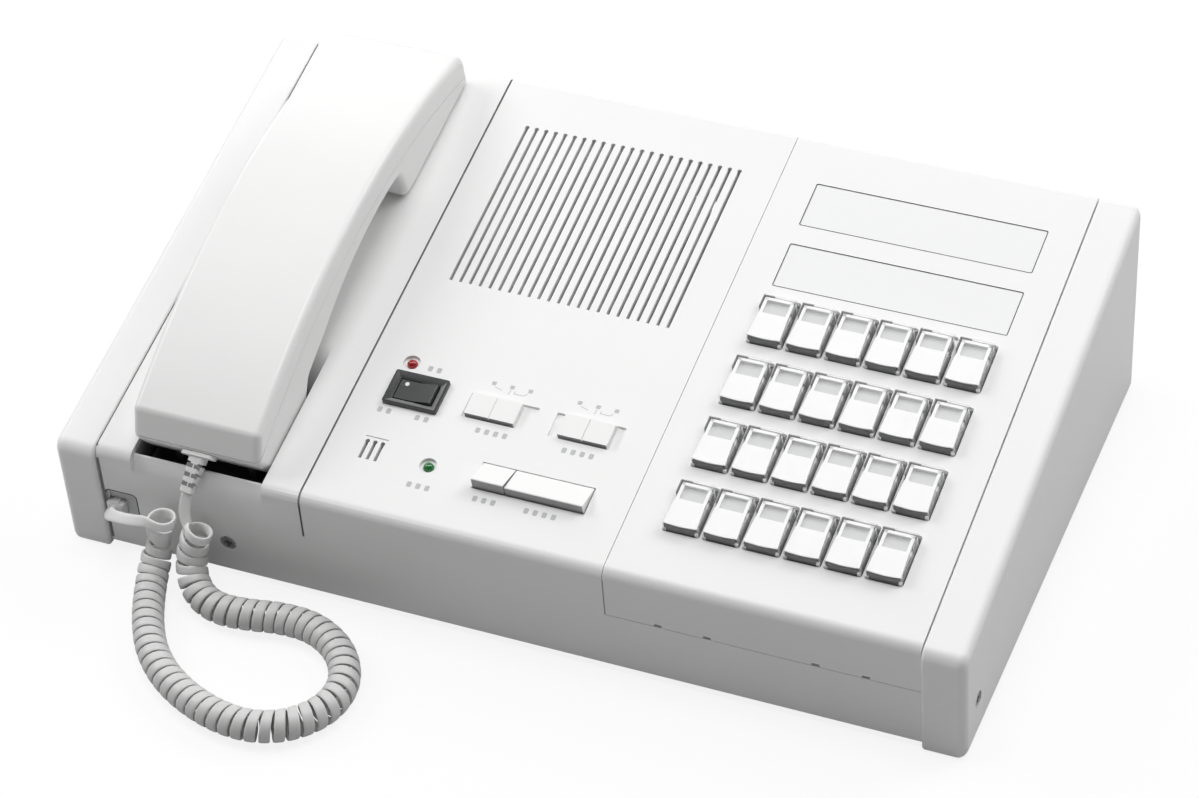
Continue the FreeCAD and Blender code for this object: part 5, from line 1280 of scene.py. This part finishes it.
class INTERCOM_OT_stage(Operator):
    """Make the floor, the lamps, the surroundings and the camera"""

    bl_idname = "intercom.stage"
    bl_label = "Stage"

    def execute(self, context):
        stage = context.scene.intercom_stage
        self.camera(context.scene, stage.lens)
        self.floor()
        for name, angles in LAMPS.items():
            self.lamp(name, *(math.radians(angle) for angle in angles), stage, getattr(stage, name))
        self.surroundings(context.scene, stage.ambient)
        context.scene.view_settings.view_transform = "Standard"
        return {"FINISHED"}

    def camera(self, scene, lens):
        """The camera at its place, its axes given by their directions."""
        data = bpy.data.cameras.new("camera")
        data.lens = lens
        data.sensor_width = 36.0
        data.clip_end = 20.0
        place = np.eye(4)
        place[:3, :3] = np.column_stack([CAMERA_RIGHT, CAMERA_UP, CAMERA_BACK])
        place[:3, 3] = case_point(CAMERA_PLACE)
        scene.camera = linked("camera", data)
        scene.camera.matrix_world = Matrix(place.tolist())

    def surroundings(self, scene, strength):
        """White surroundings: faint for the light they give, and bright where the camera sees them."""
        world = bpy.data.worlds.new("surroundings")
        scene.world = world
        world.use_nodes = True
        tree = world.node_tree
        soft = tree.nodes["Background"]
        soft.inputs["Color"].default_value = WHITE
        soft.inputs["Strength"].default_value = strength
        bright = add_node(tree, "Background", {"Color": WHITE})
        path = add_node(tree, "LightPath")
        mix = add_node(tree, "MixShader")
        wire(
            tree,
            (path, "Is Camera Ray", mix, "Fac"), (soft, 0, mix, 1), (bright, 0, mix, 2),
            (mix, 0, tree.nodes["World Output"], "Surface"),
        )

    def floor(self):
        """A wide plain sheet that reads as white to the camera and still takes a faint shadow."""
        mesh = bpy.data.meshes.new("floor")
        corners = [(x * FLOOR_REACH, y * FLOOR_REACH, 0.0) for x, y in ((-1, -1), (1, -1), (1, 1), (-1, 1))]
        mesh.from_pydata(corners, [], [(0, 1, 2, 3)])
        linked("floor", mesh)
        material, tree, shader = new_material("floor_white", Roughness=0.9, Specular_IOR_Level=0.0)
        path = add_node(tree, "LightPath")
        tone = add_node(tree, "Mix", data_type="RGBA")
        tone.inputs["A"].default_value = (*FLOOR_GREY, 1)
        tone.inputs["B"].default_value = (*FLOOR_WHITE, 1)
        glow = add_node(tree, "Emission")
        share = add_node(tree, "Math", {1: FLOOR_GLOW}, operation="MULTIPLY")
        mix = add_node(tree, "MixShader")
        wire(
            tree,
            (path, "Is Camera Ray", tone, "Factor"), (tone, "Result", shader, "Base Color"),
            (path, "Is Camera Ray", share, 0), (share, 0, mix, "Fac"), (shader, 0, mix, 1), (glow, 0, mix, 2),
            (mix, 0, tree.nodes["Material Output"], "Surface"),
        )
        mesh.materials.append(material)

    def lamp(self, name, around, up, stage, power):
        """A square lamp aimed at the middle of the object, from the given bearing and height angle."""
        data = bpy.data.lights.new(name, "AREA")
        data.size = stage.lamp_size
        data.energy = power
        obj = linked(name, data)
        place = Vector((math.cos(around) * math.cos(up), math.sin(around) * math.cos(up), math.sin(up)))
        obj.location = place * stage.lamp_distance
        obj.rotation_euler = (LAMP_AIM - obj.location).to_track_quat("-Z", "Y").to_euler()


# ---------------------------------------------------------------- panel
OPERATORS = (
    INTERCOM_OT_case, INTERCOM_OT_insides, INTERCOM_OT_keys, INTERCOM_OT_labels, INTERCOM_OT_controls,
    INTERCOM_OT_print, INTERCOM_OT_handset, INTERCOM_OT_cord, INTERCOM_OT_stage,
)
SETTINGS = {
    "intercom_case": IntercomCaseSettings,
    "intercom_handset": IntercomHandsetSettings,
    "intercom_keys": IntercomKeySettings,
    "intercom_controls": IntercomControlSettings,
    "intercom_cord": IntercomCordSettings,
    "intercom_stage": IntercomStageSettings,
}


class INTERCOM_PT_panel(Panel):
    """Sizes and colours, and a button for each group of pieces"""

    bl_idname = "INTERCOM_PT_panel"
    bl_label = "Desk Intercom"
    bl_space_type = "VIEW_3D"
    bl_region_type = "UI"
    bl_category = "Intercom"

    def draw(self, context):
        for name, settings in SETTINGS.items():
            box = self.layout.box()
            for prop in settings.__annotations__:
                box.prop(getattr(context.scene, name), prop)
        for operator in OPERATORS:
            self.layout.operator(operator.bl_idname)


def register():
    """Register the settings, the operators and the panel."""
    for name, settings in SETTINGS.items():
        bpy.utils.register_class(settings)
        setattr(bpy.types.Scene, name, PointerProperty(type=settings))
    for cls in (*OPERATORS, INTERCOM_PT_panel):
        bpy.utils.register_class(cls)


def unregister():
    """Undo register."""
    for cls in (INTERCOM_PT_panel, *reversed(OPERATORS)):
        bpy.utils.unregister_class(cls)
    for name, settings in SETTINGS.items():
        delattr(bpy.types.Scene, name)
        bpy.utils.unregister_class(settings)


def main():
    """Register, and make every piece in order."""
    register()
    bpy.ops.intercom.case()
    bpy.ops.intercom.insides()
    bpy.ops.intercom.keys()
    bpy.ops.intercom.labels()
    bpy.ops.intercom.controls()
    bpy.ops.intercom.print()
    bpy.ops.intercom.handset()
    bpy.ops.intercom.cord()
    bpy.ops.intercom.stage()


if __name__ == "__main__":
    main()
